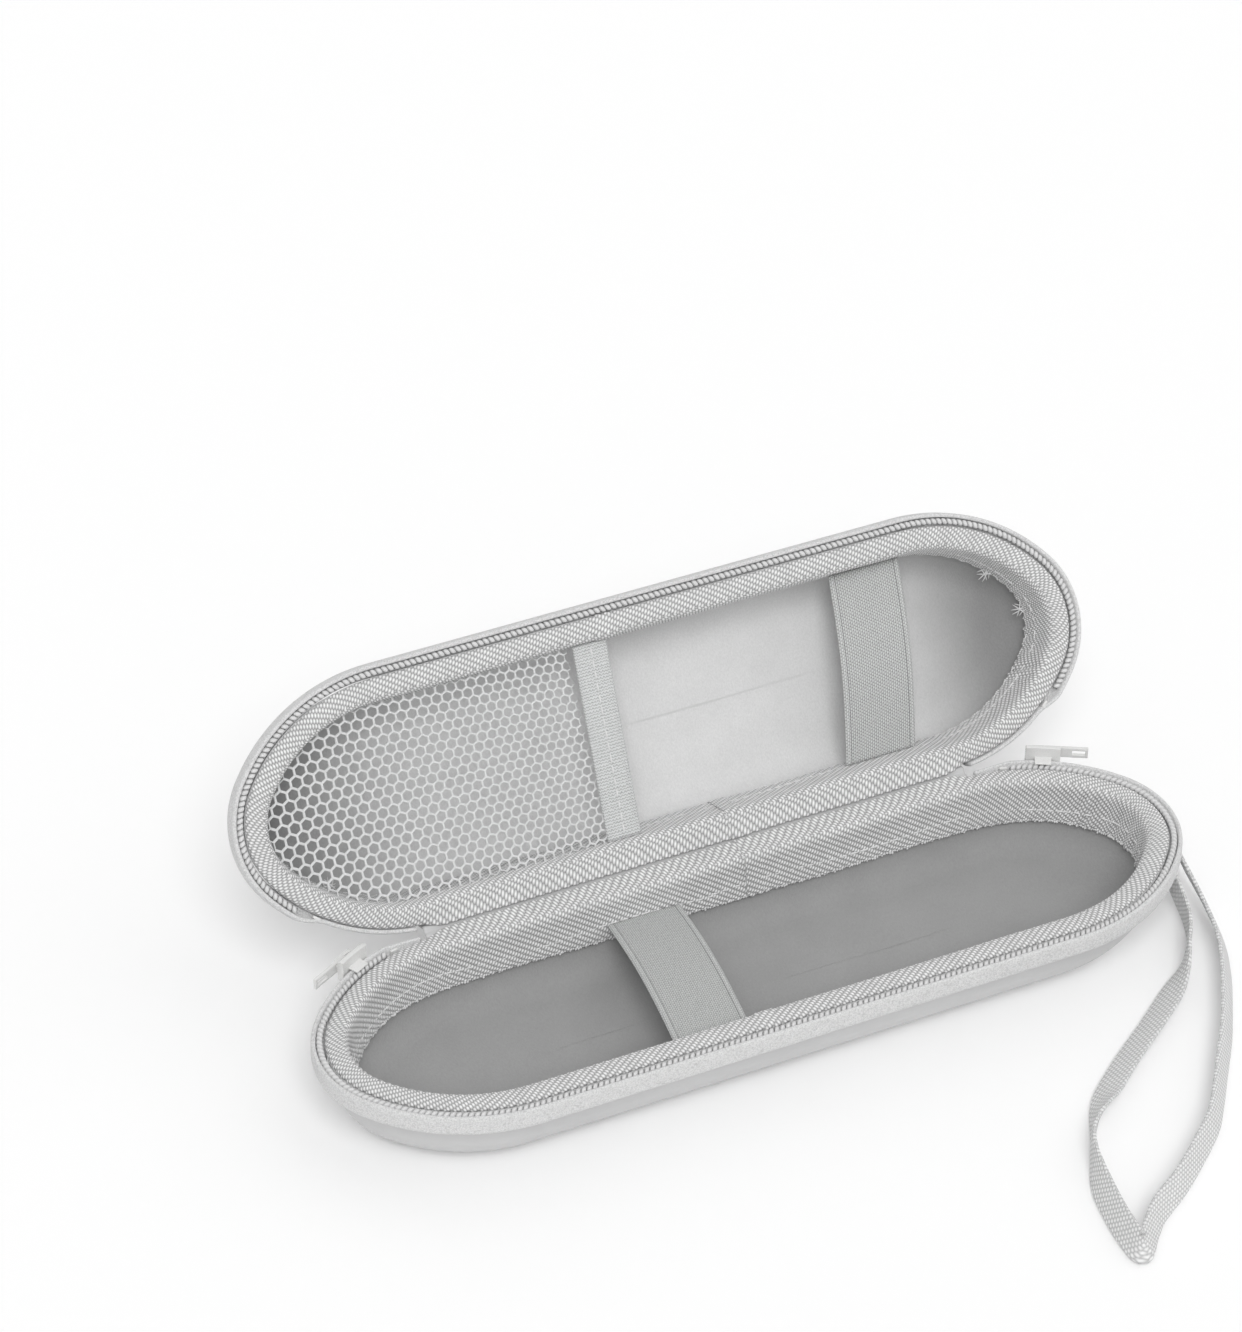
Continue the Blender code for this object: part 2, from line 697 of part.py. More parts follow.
def make_slider(name, side, carrier):
    """The slider's crowned outer plate, its fin between the two coils and the bridge for the pull."""
    park = SLIDER_PARK_ANGLE
    plate = slider_face() + SLIDER_THICKNESS
    half = SLIDER_WIDTH / 2
    reach = plate_angle()
    mesh_work = bmesh.new()
    arc_block(mesh_work, side, slider_face(), plate, park - reach, park + reach, -half, half, SLIDER_EDGE)
    body = add_object(name, mesh_work, "enamel", carrier)
    fin = bmesh.new()
    fin_depth = SIDE_RADIUS - TAPE_THICKNESS + TAPE_PROUD - COIL_WIDTH
    fin_half = SLIDER_FIN_THICKNESS / 2
    arc_block(fin, side, fin_depth, slider_face() + SLIDER_THICKNESS / 2, park - reach / 2, park + reach / 2,
              -fin_half, fin_half)
    combine(body, hidden_tool(name + "_fin", fin, carrier), "UNION")
    bridge = bmesh.new()
    bridge_reach = BRIDGE_LENGTH / 2 / SIDE_RADIUS
    arc_block(bridge, side, plate - SLIDER_THICKNESS / 2, plate + BRIDGE_HEIGHT, park - bridge_reach,
              park + bridge_reach, -BRIDGE_WIDTH / 2, BRIDGE_WIDTH / 2)
    bridge_tool = hidden_tool(name + "_bridge", bridge, carrier)
    combine(body, bridge_tool, "UNION")
    opening = bmesh.new()
    opening_reach = (BRIDGE_LENGTH / 2 - BRIDGE_WALL) / SIDE_RADIUS
    arc_block(opening, side, plate + FIT_GAP, plate + BRIDGE_HEIGHT - BRIDGE_WALL, park - opening_reach,
              park + opening_reach, -BRIDGE_WIDTH, BRIDGE_WIDTH)
    combine(body, hidden_tool(name + "_opening", opening, carrier), "DIFFERENCE")
    return body


def pull_pivot(side):
    """The middle of the pull's bar, under the bridge."""
    plate = slider_face() + SLIDER_THICKNESS
    radius = plate + (BRIDGE_HEIGHT - BRIDGE_WALL + FIT_GAP) / 2
    lead = (BRIDGE_LENGTH / 2 - BRIDGE_WALL - FIT_GAP - PULL_BAR / 2) / SIDE_RADIUS
    return slider_point(side, radius, SLIDER_PARK_ANGLE + lead, 0)


def box(mesh_work, low, high):
    made = bmesh.ops.create_cube(mesh_work, size=1)
    bmesh.ops.scale(mesh_work, vec=Vector(high) - Vector(low), verts=made["verts"])
    bmesh.ops.translate(mesh_work, vec=(Vector(high) + Vector(low)) / 2, verts=made["verts"])


def make_pull(name, side, pivot):
    """A flat pull along +X of its own axis, with an eye round the bridge and a hole near its tip."""
    half = PULL_WIDTH / 2
    thick = PULL_THICKNESS / 2
    bar = PULL_BAR / 2
    mesh_work = bmesh.new()
    box(mesh_work, (-bar, -thick, -half), (PULL_LENGTH, thick, half))
    pull = add_object(name, mesh_work, "enamel", pivot)
    eye = bmesh.new()
    box(eye, (bar, -2 * thick, -half + PULL_ARM), (bar + PULL_EYE_LENGTH, 2 * thick, half - PULL_ARM))
    combine(pull, hidden_tool(name + "_eye", eye, pivot), "DIFFERENCE")
    hole = bmesh.new()
    far = PULL_LENGTH - PULL_ARM
    hole_half = PULL_HOLE_WIDTH / 2
    box(hole, (far - PULL_HOLE_LENGTH, -2 * thick, -hole_half), (far, 2 * thick, hole_half))
    combine(pull, hidden_tool(name + "_hole", hole, pivot), "DIFFERENCE")
    return pull


def make_slider_set(side_name, side):
    carrier = add_empty("slider_" + side_name + "_axis", (side * STRAIGHT_HALF, SIDE_CENTRE_Y, HALF_DEPTH))
    make_slider("zip_slider_" + side_name, side, carrier)
    heading = -SLIDER_PARK_ANGLE if side > 0 else math.pi + SLIDER_PARK_ANGLE
    pivot = add_empty("pull_" + side_name + "_axis", pull_pivot(side), carrier, heading)
    make_pull("zip_pull_" + side_name, side, pivot)


# Ring, hook and wrist strap

def upright_pin(mesh_work, centre, radius, low, high):
    loops = []
    turns = [2 * math.pi * k / ROUND_STEPS for k in range(ROUND_STEPS)]
    for z in (low, high):
        loops.append([mesh_work.verts.new((centre.x + radius * math.cos(turn),
                                           centre.y + radius * math.sin(turn), z)) for turn in turns])
    bridge_rings(mesh_work, loops, True)
    mesh_work.faces.new(loops[0])
    mesh_work.faces.new(loops[1])


def tab_face():
    """Inset of the tab's back, which lies on the cover just under the zip tape."""
    return wall_inset(tab_top(), 0) - FIT_GAP


def tab_top():
    return HARDWARE_HEIGHT + TAB_WIDTH / 2


def tab_eye_radius():
    return RING_WIRE_RADIUS + FIT_GAP + TAB_EYE_WALL


def ring_pivot():
    """The upright axis of the ring's straight side, inside the tab's eye."""
    radius = SIDE_RADIUS - tab_face() + tab_eye_radius()
    return Vector((STRAIGHT_HALF + radius * math.sin(TAB_EYE_ANGLE),
                   SIDE_CENTRE_Y + radius * math.cos(TAB_EYE_ANGLE), HARDWARE_HEIGHT))


def make_tab(name):
    """A folded webbing tab: a strip along the cover that ends in a sewn eye."""
    low = HARDWARE_HEIGHT - TAB_WIDTH / 2
    high = tab_top()
    inner = SIDE_RADIUS - tab_face()
    outer = inner + TAB_THICKNESS
    mesh_work = bmesh.new()
    arc_block(mesh_work, 1, inner, outer, TAB_START_ANGLE, TAB_EYE_ANGLE, low, high)
    bmesh.ops.translate(mesh_work, vec=(STRAIGHT_HALF, SIDE_CENTRE_Y, 0), verts=mesh_work.verts)
    tab = add_object(name, mesh_work, "webbing")
    eye = bmesh.new()
    upright_pin(eye, ring_pivot(), tab_eye_radius(), low, high)
    combine(tab, hidden_tool(name + "_eye", eye, None), "UNION")
    bore = bmesh.new()
    upright_pin(bore, ring_pivot(), RING_WIRE_RADIUS + FIT_GAP, low - TAB_WIDTH, high + TAB_WIDTH)
    combine(tab, hidden_tool(name + "_bore", bore, None), "DIFFERENCE")
    return tab


def tube_along(points, radius):
    """A round wire along a closed path in X and Z: its section turns with the path."""
    mesh_work = bmesh.new()
    rings = []
    count = len(points)
    turns = [2 * math.pi * k / WIRE_STEPS for k in range(WIRE_STEPS)]
    flat = Vector((0, 1, 0))
    for k, point in enumerate(points):
        run = (points[(k + 1) % count] - points[k - 1]).normalized()
        across = run.cross(flat)
        rings.append([mesh_work.verts.new(point + (across * math.cos(turn) + flat * math.sin(turn)) * radius)
                      for turn in turns])
    bridge_rings(mesh_work, rings + [rings[0]], True)
    return mesh_work


def d_path(height, length):
    """A D outline in X and Z: a straight side on the axis and a half ellipse away from it."""
    points = []
    corner = height / 2
    for k in range(ROUND_STEPS + 1):
        angle = -math.pi / 2 + math.pi * k / ROUND_STEPS
        points.append(Vector((length * math.cos(angle), 0, corner * math.sin(angle))))
    for k in range(1, RING_SIDE_STEPS):
        points.append(Vector((0, 0, corner - height * k / RING_SIDE_STEPS)))
    return points


def make_ring(name, pivot):
    mesh_work = tube_along(d_path(RING_HEIGHT, RING_LENGTH), RING_WIRE_RADIUS)
    return add_object(name, mesh_work, "metal", pivot)


def heading_vector(angle):
    return Vector((math.cos(angle), math.sin(angle), 0))


def ring_apex():
    return ring_pivot() + heading_vector(RING_HEADING) * RING_LENGTH


def eye_bar_x():
    return HOOK_REACH + EYE_LENGTH


def eye_bar_place():
    return ring_apex() + heading_vector(HOOK_HEADING) * eye_bar_x()


def outline_prism(points, low, high):
    mesh_work = bmesh.new()
    rings = [[mesh_work.verts.new((p.x, p.y, z)) for p in points] for z in (low, high)]
    bridge_rings(mesh_work, rings, True)
    mesh_work.faces.new(rings[0])
    mesh_work.faces.new(rings[1])
    return mesh_work


def hook_centre():
    """The middle of the hook's bend: the ring's wire stands on the hook's own axis, inside the bend."""
    return Vector((HOOK_RADIUS - HOOK_BAR / 2 - RING_WIRE_RADIUS - RING_PLAY, 0, 0))


def gate_pin_place():
    boss = gate_eye_radius()
    return Vector((HOOK_REACH - boss, -HOOK_RADIUS + boss - HOOK_BAR / 2, 0))


def gate_eye_radius():
    return GATE_PIN_RADIUS + FIT_GAP + GATE_EYE_WALL


def hook_outline():
    """The hook's plan: the bend from its nose round to the back bar, then the shank to the gate's boss."""
    centre = hook_centre()
    outer = []
    inner = []
    for k in range(ROUND_STEPS + 1):
        angle = HOOK_NOSE_ANGLE + (math.pi / 2 - HOOK_NOSE_ANGLE) * k / ROUND_STEPS
        out = Vector((math.cos(angle), math.sin(angle), 0))
        outer.append(centre + out * (HOOK_RADIUS + HOOK_BAR / 2))
        inner.append(centre + out * (HOOK_RADIUS - HOOK_BAR / 2))
    shank_low = gate_pin_place().y
    outer.append(Vector((HOOK_REACH, outer[-1].y, 0)))
    outer.append(Vector((HOOK_REACH, shank_low, 0)))
    inner.append(Vector((HOOK_REACH - SHANK_LENGTH, inner[-1].y, 0)))
    inner.append(Vector((HOOK_REACH - SHANK_LENGTH, shank_low, 0)))
    return outer + list(reversed(inner))


def eye_frame():
    """The webbing eye's rounded rectangle, from the casting to its far bar."""
    start = HOOK_REACH - SHANK_LENGTH / 2
    far = eye_bar_x()
    half = EYE_HEIGHT / 2
    corner = EYE_BAR_RADIUS
    points = []
    corners = ((start + corner, corner - half, math.pi), (far - corner, corner - half, 3 * math.pi / 2),
               (far - corner, half - corner, 0), (start + corner, half - corner, math.pi / 2))
    for x, z, first in corners:
        for k in range(EYE_CORNER_STEPS + 1):
            angle = first + math.pi / 2 * k / EYE_CORNER_STEPS
            points.append(Vector((x + corner * math.cos(angle), 0, z + corner * math.sin(angle))))
    return points


def make_hook(name, pivot):
    """The hook, its webbing eye and the two ears that hold the gate's pin, in one casting."""
    half = HOOK_THICKNESS / 2
    pin = gate_pin_place()
    hook = add_object(name, outline_prism(hook_outline(), -half, half), "metal", pivot)
    eye = tube_along(eye_frame(), EYE_BAR_RADIUS)
    combine(hook, hidden_tool(name + "_eye", eye, pivot), "UNION")
    boss = bmesh.new()
    upright_pin(boss, pin, gate_eye_radius(), -half, half)
    combine(hook, hidden_tool(name + "_boss", boss, pivot), "UNION")
    slot = bmesh.new()
    slot_half = GATE_THICKNESS / 2 + FIT_GAP
    slot_reach = gate_eye_radius() + FIT_GAP
    box(slot, (pin.x - 2 * slot_reach, pin.y - slot_reach, -slot_half),
        (pin.x + slot_reach, pin.y + slot_reach, slot_half))
    combine(hook, hidden_tool(name + "_slot", slot, pivot), "DIFFERENCE")
    bore = bmesh.new()
    upright_pin(bore, pin, GATE_PIN_RADIUS + FIT_GAP, -HOOK_THICKNESS, HOOK_THICKNESS)
    combine(hook, hidden_tool(name + "_bore", bore, pivot), "DIFFERENCE")
    return hook


def make_gate(name, pivot):
    """The sprung gate, on its own axis: an eye round the pin and a bar that reaches the hook's nose."""
    half = GATE_THICKNESS / 2
    centre = hook_centre()
    nose = centre + heading_vector(HOOK_NOSE_ANGLE) * HOOK_RADIUS
    tip_x = nose.x + HOOK_BAR + FIT_GAP - gate_pin_place().x
    mesh_work = bmesh.new()
    upright_pin(mesh_work, Vector((0, 0, 0)), gate_eye_radius(), -half, half)
    gate = add_object(name, mesh_work, "metal", pivot)
    bar = bmesh.new()
    box(bar, (tip_x, -GATE_BAR / 2, -half), (0, GATE_BAR / 2, half))
    combine(gate, hidden_tool(name + "_bar", bar, pivot), "UNION")
    bore = bmesh.new()
    upright_pin(bore, Vector((0, 0, 0)), GATE_PIN_RADIUS + FIT_GAP, -HOOK_THICKNESS, HOOK_THICKNESS)
    combine(gate, hidden_tool(name + "_bore", bore, pivot), "DIFFERENCE")
    return gate


def make_gate_pin(name, pivot):
    mesh_work = bmesh.new()
    upright_pin(mesh_work, gate_pin_place(), GATE_PIN_RADIUS, -HOOK_THICKNESS / 2, HOOK_THICKNESS / 2)
    return add_object(name, mesh_work, "metal", pivot)


def catmull_points(route, steps):
    """A smooth line through every point of a route."""
    points = [Vector(p) for p in route]
    line = []
    for k in range(len(points) - 1):
        p0 = points[max(k - 1, 0)]
        p1 = points[k]
        p2 = points[k + 1]
        p3 = points[min(k + 2, len(points) - 1)]
        for step in range(steps):
            t = step / steps
            line.append(0.5 * (2 * p1 + (p2 - p0) * t + (2 * p0 - 5 * p1 + 4 * p2 - p3) * t * t
                               + (3 * p1 - p0 - 3 * p2 + p3) * t ** 3))
    line.append(points[-1])
    return line


def strap_height(distance):
    """Height of the webbing's middle: level with the hook at first, and on the table further on."""
    low = WEBBING_WIDTH / 2 + TABLE_CLEARANCE
    share = min(1.0, distance / STRAP_DROP_LENGTH)
    ease = share * share * (3 - 2 * share)
    return HARDWARE_HEIGHT + (low - HARDWARE_HEIGHT) * ease


def strand_line(first, shares):
    """One strand's line on the table, from the sewn end, with the distance along it at each point."""
    route = [first] + [Vector((x * CASE_LENGTH, y * CASE_LENGTH)) for x, y in shares]
    line = catmull_points(route, WEBBING_STEPS)
    distances = [0.0]
    for one, other in zip(line[:-1], line[1:]):
        distances.append(distances[-1] + (other - one).length)
    return [Vector((p.x, p.y, strap_height(d))) for p, d in zip(line, distances)]


def webbing_sweep(line, thickness, width):
    """Webbing that stands on its edge along a line: its thickness is level, its width upright."""
    mesh_work = bmesh.new()
    rings = []
    count = len(line)
    for k, point in enumerate(line):
        before = (point - line[max(k - 1, 0)]).to_2d()
        after = (line[min(k + 1, count - 1)] - point).to_2d()
        if k == 0:
            before = after
        if k == count - 1:
            after = before
        run = (before.normalized() + after.normalized()).normalized()
        stretch = max(run.dot(after.normalized()), MITRE_LIMIT)
        side = Vector((-run.y, run.x, 0)) * thickness / 2 / stretch
        up = Vector((0, 0, width / 2))
        corners = (-side - up, side - up, side + up, up - side)
        rings.append([mesh_work.verts.new(point + corner) for corner in corners])
    bridge_rings(mesh_work, rings, True)
    mesh_work.faces.new(rings[0])
    mesh_work.faces.new(rings[-1])
    return mesh_work


def sewn_end_exit(side):
    """Where one strand leaves the sewn end: the strands lie side by side, with the fit gap between them."""
    run = heading_vector(SEWN_END_HEADING)
    across = Vector((-run.y, run.x, 0))
    reach = SEWN_END_LENGTH + FIT_GAP
    place = eye_bar_place() + run * reach + across * side * (WEBBING_THICKNESS + FIT_GAP) / 2
    return place.to_2d()


def make_sewn_end(name, pivot):
    """The webbing's end, folded round the eye's bar and sewn to a flat stack."""
    half = WEBBING_WIDTH / 2
    inner = EYE_BAR_RADIUS + FIT_GAP
    run = heading_vector(SEWN_END_HEADING)
    mesh_work = bmesh.new()
    upright_pin(mesh_work, Vector((0, 0, 0)), inner + WEBBING_THICKNESS, -half, half)
    end = add_object(name, mesh_work, "webbing", pivot)
    stack_line = [Vector((0, 0, 0)), run * SEWN_END_LENGTH]
    stack = webbing_sweep(stack_line, 2 * WEBBING_THICKNESS + FIT_GAP, WEBBING_WIDTH)
    combine(end, hidden_tool(name + "_stack", stack, pivot), "UNION")
    bore = bmesh.new()
    upright_pin(bore, Vector((0, 0, 0)), inner, -WEBBING_WIDTH, WEBBING_WIDTH)
    combine(end, hidden_tool(name + "_bore", bore, pivot), "DIFFERENCE")
    return end


def make_wrist_strap(name, pivot):
    """The loop of webbing: out along the inner strand, folded at its tip and back along the outer strand."""
    inner = strand_line(sewn_end_exit(-1), STRAP_INNER_SHARES)
    outer = strand_line(sewn_end_exit(1), tuple(reversed(STRAP_OUTER_SHARES)) + (STRAP_INNER_SHARES[-1],))
    line = inner + list(reversed(outer))[1:]
    origin = eye_bar_place()
    mesh_work = webbing_sweep([p - origin for p in line], WEBBING_THICKNESS, WEBBING_WIDTH)
    return add_object(name, mesh_work, "webbing", pivot)


def make_wrist_strap_set():
    make_tab("strap_anchor_tab")
    ring_axis = add_empty("ring_axis", ring_pivot(), None, RING_HEADING)
    make_ring("strap_ring", ring_axis)
    hook_axis = add_empty("hook_axis", ring_apex(), None, HOOK_HEADING)
    make_hook("snap_hook", hook_axis)
    make_gate_pin("gate_pin", hook_axis)
    gate_axis = add_empty("gate_axis", gate_pin_place(), hook_axis)
    make_gate("hook_gate", gate_axis)
    strap_axis = add_empty("strap_axis", eye_bar_place())
    make_sewn_end("strap_sewn_end", strap_axis)
    make_wrist_strap("wrist_strap", strap_axis)


def build_all():
    clear_scene()
    hinge = add_empty("lid_hinge_axis", (0, HINGE_Y, HALF_DEPTH), None, -LID_OPEN_ANGLE, "X")
    halves = (("base", None, False, STOP_START_ANGLE, COIL_START_ANGLE),
              ("lid", hinge, True, LID_STOP_START_ANGLE, LID_COIL_START_ANGLE))
    for prefix, half, in_lid, stop_angle, coil_angle in halves:
        make_layer(prefix + "_cover", 0.0, COVER_THICKNESS, CORNER_STEPS, "leatherette", half, in_lid)
        make_layer(
            prefix + "_foam_shell", SHELL_OFFSET, SHELL_THICKNESS, INNER_CORNER_STEPS, "foam", half, in_lid)
        make_layer(
            prefix + "_lining", LINING_OFFSET, LINING_THICKNESS, INNER_CORNER_STEPS, "lining", half, in_lid)
        make_binding(prefix + "_binding", half, in_lid)
        make_tape(prefix + "_zip_tape", half, in_lid)
        make_coil(prefix + "_zip_coil", coil_angle, half, in_lid)
        make_stop(prefix + "_zip_stop_right", 1, stop_angle, half, in_lid)
        make_stop(prefix + "_zip_stop_left", -1, stop_angle, half, in_lid)
    make_cross_band("base_elastic_strap", "elastic", None, False, STRAP_WIDTH, STRAP_THICKNESS,
                    STRAP_END_DEPTH, BASE_STRAP_RISE, BASE_STRAP_BACK_X, BASE_STRAP_FRONT_X)
    make_cross_band("lid_elastic_strap", "elastic", hinge, True, STRAP_WIDTH, STRAP_THICKNESS,
                    STRAP_END_DEPTH, LID_STRAP_RISE, LID_STRAP_BACK_X, LID_STRAP_FRONT_X)
    make_cross_band("pocket_band", "elastic", hinge, True, POCKET_BAND_WIDTH, POCKET_BAND_THICKNESS,
                    NET_DEPTH, 0.0, POCKET_BAND_BACK_X, POCKET_BAND_FRONT_X)
    make_net("pocket_net", hinge)
    make_spine("spine_cover")
    make_slider_set("right", 1)
    make_slider_set("left", -1)
    make_wrist_strap_set()


build_all()
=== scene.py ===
"""Looks of a hard shell travel case for an electric toothbrush, standing open on a table.

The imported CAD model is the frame. Its soft and moulded nodes are replaced here by surfaces that are worked
out with numpy, its hard ones by rounded copies, and every piece gets a procedural material. Lengths are
metres, and the patterns are in millimetres.
"""
import json
import math

import bmesh
import bpy
import numpy as np
from mathutils import Matrix, Vector


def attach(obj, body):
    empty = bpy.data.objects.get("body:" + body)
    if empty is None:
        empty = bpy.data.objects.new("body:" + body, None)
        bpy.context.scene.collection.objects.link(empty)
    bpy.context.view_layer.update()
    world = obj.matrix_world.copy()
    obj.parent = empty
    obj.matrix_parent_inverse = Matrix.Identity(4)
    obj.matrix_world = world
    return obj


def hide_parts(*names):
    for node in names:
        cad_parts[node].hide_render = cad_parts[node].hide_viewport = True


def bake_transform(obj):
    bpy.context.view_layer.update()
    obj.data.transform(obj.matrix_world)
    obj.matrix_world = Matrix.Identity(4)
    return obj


MM = 0.001

# Case, as in the solids
CASE_LENGTH = 240 * MM
CASE_WIDTH = 70 * MM
HALF_DEPTH = 25 * MM
SIDE_RADIUS = 50 * MM
TIP_RADIUS = 25 * MM
STRAIGHT_HALF = 75 * MM
SIDE_CENTRE_Y = CASE_WIDTH / 2 - SIDE_RADIUS
TIP_CENTRE_X = CASE_LENGTH / 2 - TIP_RADIUS
JUNCTION_ANGLE = math.atan2(-SIDE_CENTRE_Y, TIP_CENTRE_X - STRAIGHT_HALF)
HINGE_Y = CASE_WIDTH / 2 - 1.1 * MM
LID_ANGLE = math.radians(-125)
FIT_GAP = 0.3 * MM

# Walls of one half, as insets from the outline
RIM_Z = HALF_DEPTH - 1.8 * MM
COVER_SET_IN = 2.6 * MM
WALL_TAPER = 2.0 * MM
CORNER_RADIUS = 13 * MM
CORNER_START = math.radians(8)
COVER_THICKNESS = 0.8 * MM
SHELL_OFFSET = 1.1 * MM
SHELL_THICKNESS = 2.4 * MM
LINING_OFFSET = 3.8 * MM
LINING_THICKNESS = 0.7 * MM
BINDING_FACE = 5.8 * MM

# Zip
TAPE_START = math.radians(5.8)
BASE_COIL_START = math.radians(17.8)
LID_COIL_START = math.radians(44.5)
LID_TAPE_SET_IN = 2.1 * MM
LID_TAPE_TURN = math.radians(34.2)
LID_TAPE_OUT = math.radians(44.0)
TOOTH_PITCH = 1.55 * MM
TOOTH_LEAN = math.tan(math.radians(24))
TOOTH_SIZE = (1.34 * MM, 1.70 * MM, 1.75 * MM)
TOOTH_INSET = 1.35 * MM

# Camera fitted to the photograph
IMAGE_LONG_SIDE = 1332
FOCAL_PIXELS = 4629.15
CAMERA_YAW = math.radians(-24.85)
CAMERA_PITCH = math.radians(39.57)
CAMERA_ROLL = math.radians(0.68)
CAMERA_PLACE = (-397.993 * MM, -774.106 * MM, 830.702 * MM)
SENSOR = 36
SURROUND_LIGHT = 0.50

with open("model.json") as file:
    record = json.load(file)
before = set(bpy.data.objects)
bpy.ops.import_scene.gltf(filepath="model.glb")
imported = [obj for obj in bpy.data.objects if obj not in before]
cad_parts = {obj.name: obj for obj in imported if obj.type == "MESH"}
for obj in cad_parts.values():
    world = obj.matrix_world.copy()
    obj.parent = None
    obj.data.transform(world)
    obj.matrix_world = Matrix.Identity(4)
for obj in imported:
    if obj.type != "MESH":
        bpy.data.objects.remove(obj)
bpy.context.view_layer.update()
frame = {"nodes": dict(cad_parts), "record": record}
bpy.context.scene.view_settings.view_transform = "Standard"


# Camera, floor and light

def make_camera():
    camera = bpy.data.objects.new("camera", bpy.data.cameras.new("camera"))
    bpy.context.collection.objects.link(camera)
    level = Vector((math.cos(CAMERA_YAW), math.sin(CAMERA_YAW), 0))
    forward = Vector((-level.y, level.x, 0))
    back = Vector((0, 0, math.sin(CAMERA_PITCH))) - forward * math.cos(CAMERA_PITCH)
    up = back.cross(level)
    cos_roll, sin_roll = math.cos(CAMERA_ROLL), math.sin(CAMERA_ROLL)
    right = level * cos_roll + up * sin_roll
    head = up * cos_roll - level * sin_roll
    turn = Matrix((right, head, back)).transposed()
    camera.matrix_world = Matrix.Translation(CAMERA_PLACE) @ turn.to_4x4()
    camera.data.lens = FOCAL_PIXELS * SENSOR / IMAGE_LONG_SIDE
    camera.data.sensor_width = SENSOR
    camera.data.clip_start = 0.01
    camera.data.clip_end = 20
    bpy.context.scene.camera = camera


def far_lamp(name, direction, spread, strength):
    """A far lamp that shines from a direction, with soft shadows. A strength of 1 lights a face that is
    square to it so that its colour shows as written."""
    lamp = bpy.data.objects.new(name, bpy.data.lights.new(name, "SUN"))
    bpy.context.collection.objects.link(lamp)
    lamp.data.angle = math.radians(spread)
    lamp.data.energy = strength * math.pi
    lamp.rotation_euler = Vector(direction).to_track_quat("Z", "Y").to_euler()


def make_lights():
    """Three far lamps and an even surround, which the camera sees as full white."""
    far_lamp("key_lamp", (-0.25, -0.75, 1.0), 30, 0.46)
    far_lamp("side_lamp", (0.8, -0.2, 1.0), 60, 0.09)
    far_lamp("back_lamp", (0.3, 0.9, 0.8), 60, 0.07)
    world = bpy.data.worlds.new("studio")
    bpy.context.scene.world = world
    world.use_nodes = True
    tree = world.node_tree
    tree.nodes.clear()
    rays = place(tree, "LightPath").outputs
    seen = calc(tree, "MAXIMUM", rays["Is Camera Ray"], rays["Is Transmission Ray"])
    light, sight = (place(tree, "Background", {"Color": (1, 1, 1, 1), "Strength": strength}).outputs[0]
                    for strength in (SURROUND_LIGHT, 1.0))
    mix = place(tree, "MixShader", {0: seen, 1: light, 2: sight})
    place(tree, "OutputWorld", {"Surface": mix.outputs[0]})


# Node helpers

def place(tree, kind, inputs=None, **settings):
    """Adds a node. Inputs are values, or sockets of other nodes, by the names or numbers of its sockets."""
    node = tree.nodes.new("ShaderNode" + kind)
    for key, value in settings.items():
        setattr(node, key, value)
    for key, value in (inputs or {}).items():
        if isinstance(value, bpy.types.NodeSocket):
            tree.links.new(value, node.inputs[key])
        else:
            node.inputs[key].default_value = value
    return node


def calc(tree, operation, a, b=0.0, c=0.0):
    """The result of one Math node."""
    return place(tree, "Math", {0: a, 1: b, 2: c}, operation=operation).outputs[0]


def product(tree, a, b):
    return calc(tree, "MULTIPLY", a, b)


def line_of(tree, a, factor, shift):
    """a * factor + shift"""
    return calc(tree, "MULTIPLY_ADD", a, factor, shift)


def wave(tree, value, power):
    """A smooth wave from 0 to 1 with one turn for each unit of its value, raised to a power."""
    turned = calc(tree, "SINE", product(tree, value, 2 * math.pi))
    return calc(tree, "POWER", line_of(tree, turned, 0.5, 0.5), power)


def noise(tree, vector, scale, detail, roughness=0.5):
    return place(tree, "TexNoise", {"Vector": vector, "Scale": scale, "Detail": detail,
                                    "Roughness": roughness}).outputs["Fac"]


def cells(tree, vector, scale, smoothness):
    """Distance from the middles of small irregular cells."""
    return place(tree, "TexVoronoi", {"Vector": vector, "Scale": scale, "Smoothness": smoothness},
                 feature="SMOOTH_F1").outputs["Distance"]


def remap(tree, value, low, high, to_low=0.0, to_high=1.0, kind="LINEAR"):
    """A value moved from one range to another and kept inside it."""
    return place(tree, "MapRange", {"Value": value, "From Min": low, "From Max": high, "To Min": to_low,
                                    "To Max": to_high}, interpolation_type=kind).outputs[0]


def scaled(tree, vector, share):
    return place(tree, "VectorMath", {0: vector, "Scale": share}, operation="SCALE").outputs[0]


def parts(tree, vector):
    """A vector's three numbers."""
    return place(tree, "SeparateXYZ", {0: vector}).outputs


def new_group(name, inputs, outputs):
    """An empty node group with a vector input and named numbers."""
    group = bpy.data.node_groups.new(name, "ShaderNodeTree")
    group.interface.new_socket("Vector", in_out="INPUT", socket_type="NodeSocketVector")
    for names, way in ((inputs, "INPUT"), (outputs, "OUTPUT")):
        for socket in names:
            group.interface.new_socket(socket, in_out=way, socket_type="NodeSocketFloat")
    return group, group.nodes.new("NodeGroupInput").outputs, group.nodes.new("NodeGroupOutput").inputs


def put_out(group, out, *results):
    """Joins a group's results to its outputs in their order."""
    for number, result in enumerate(results):
        group.links.new(result, out[number])
    return group


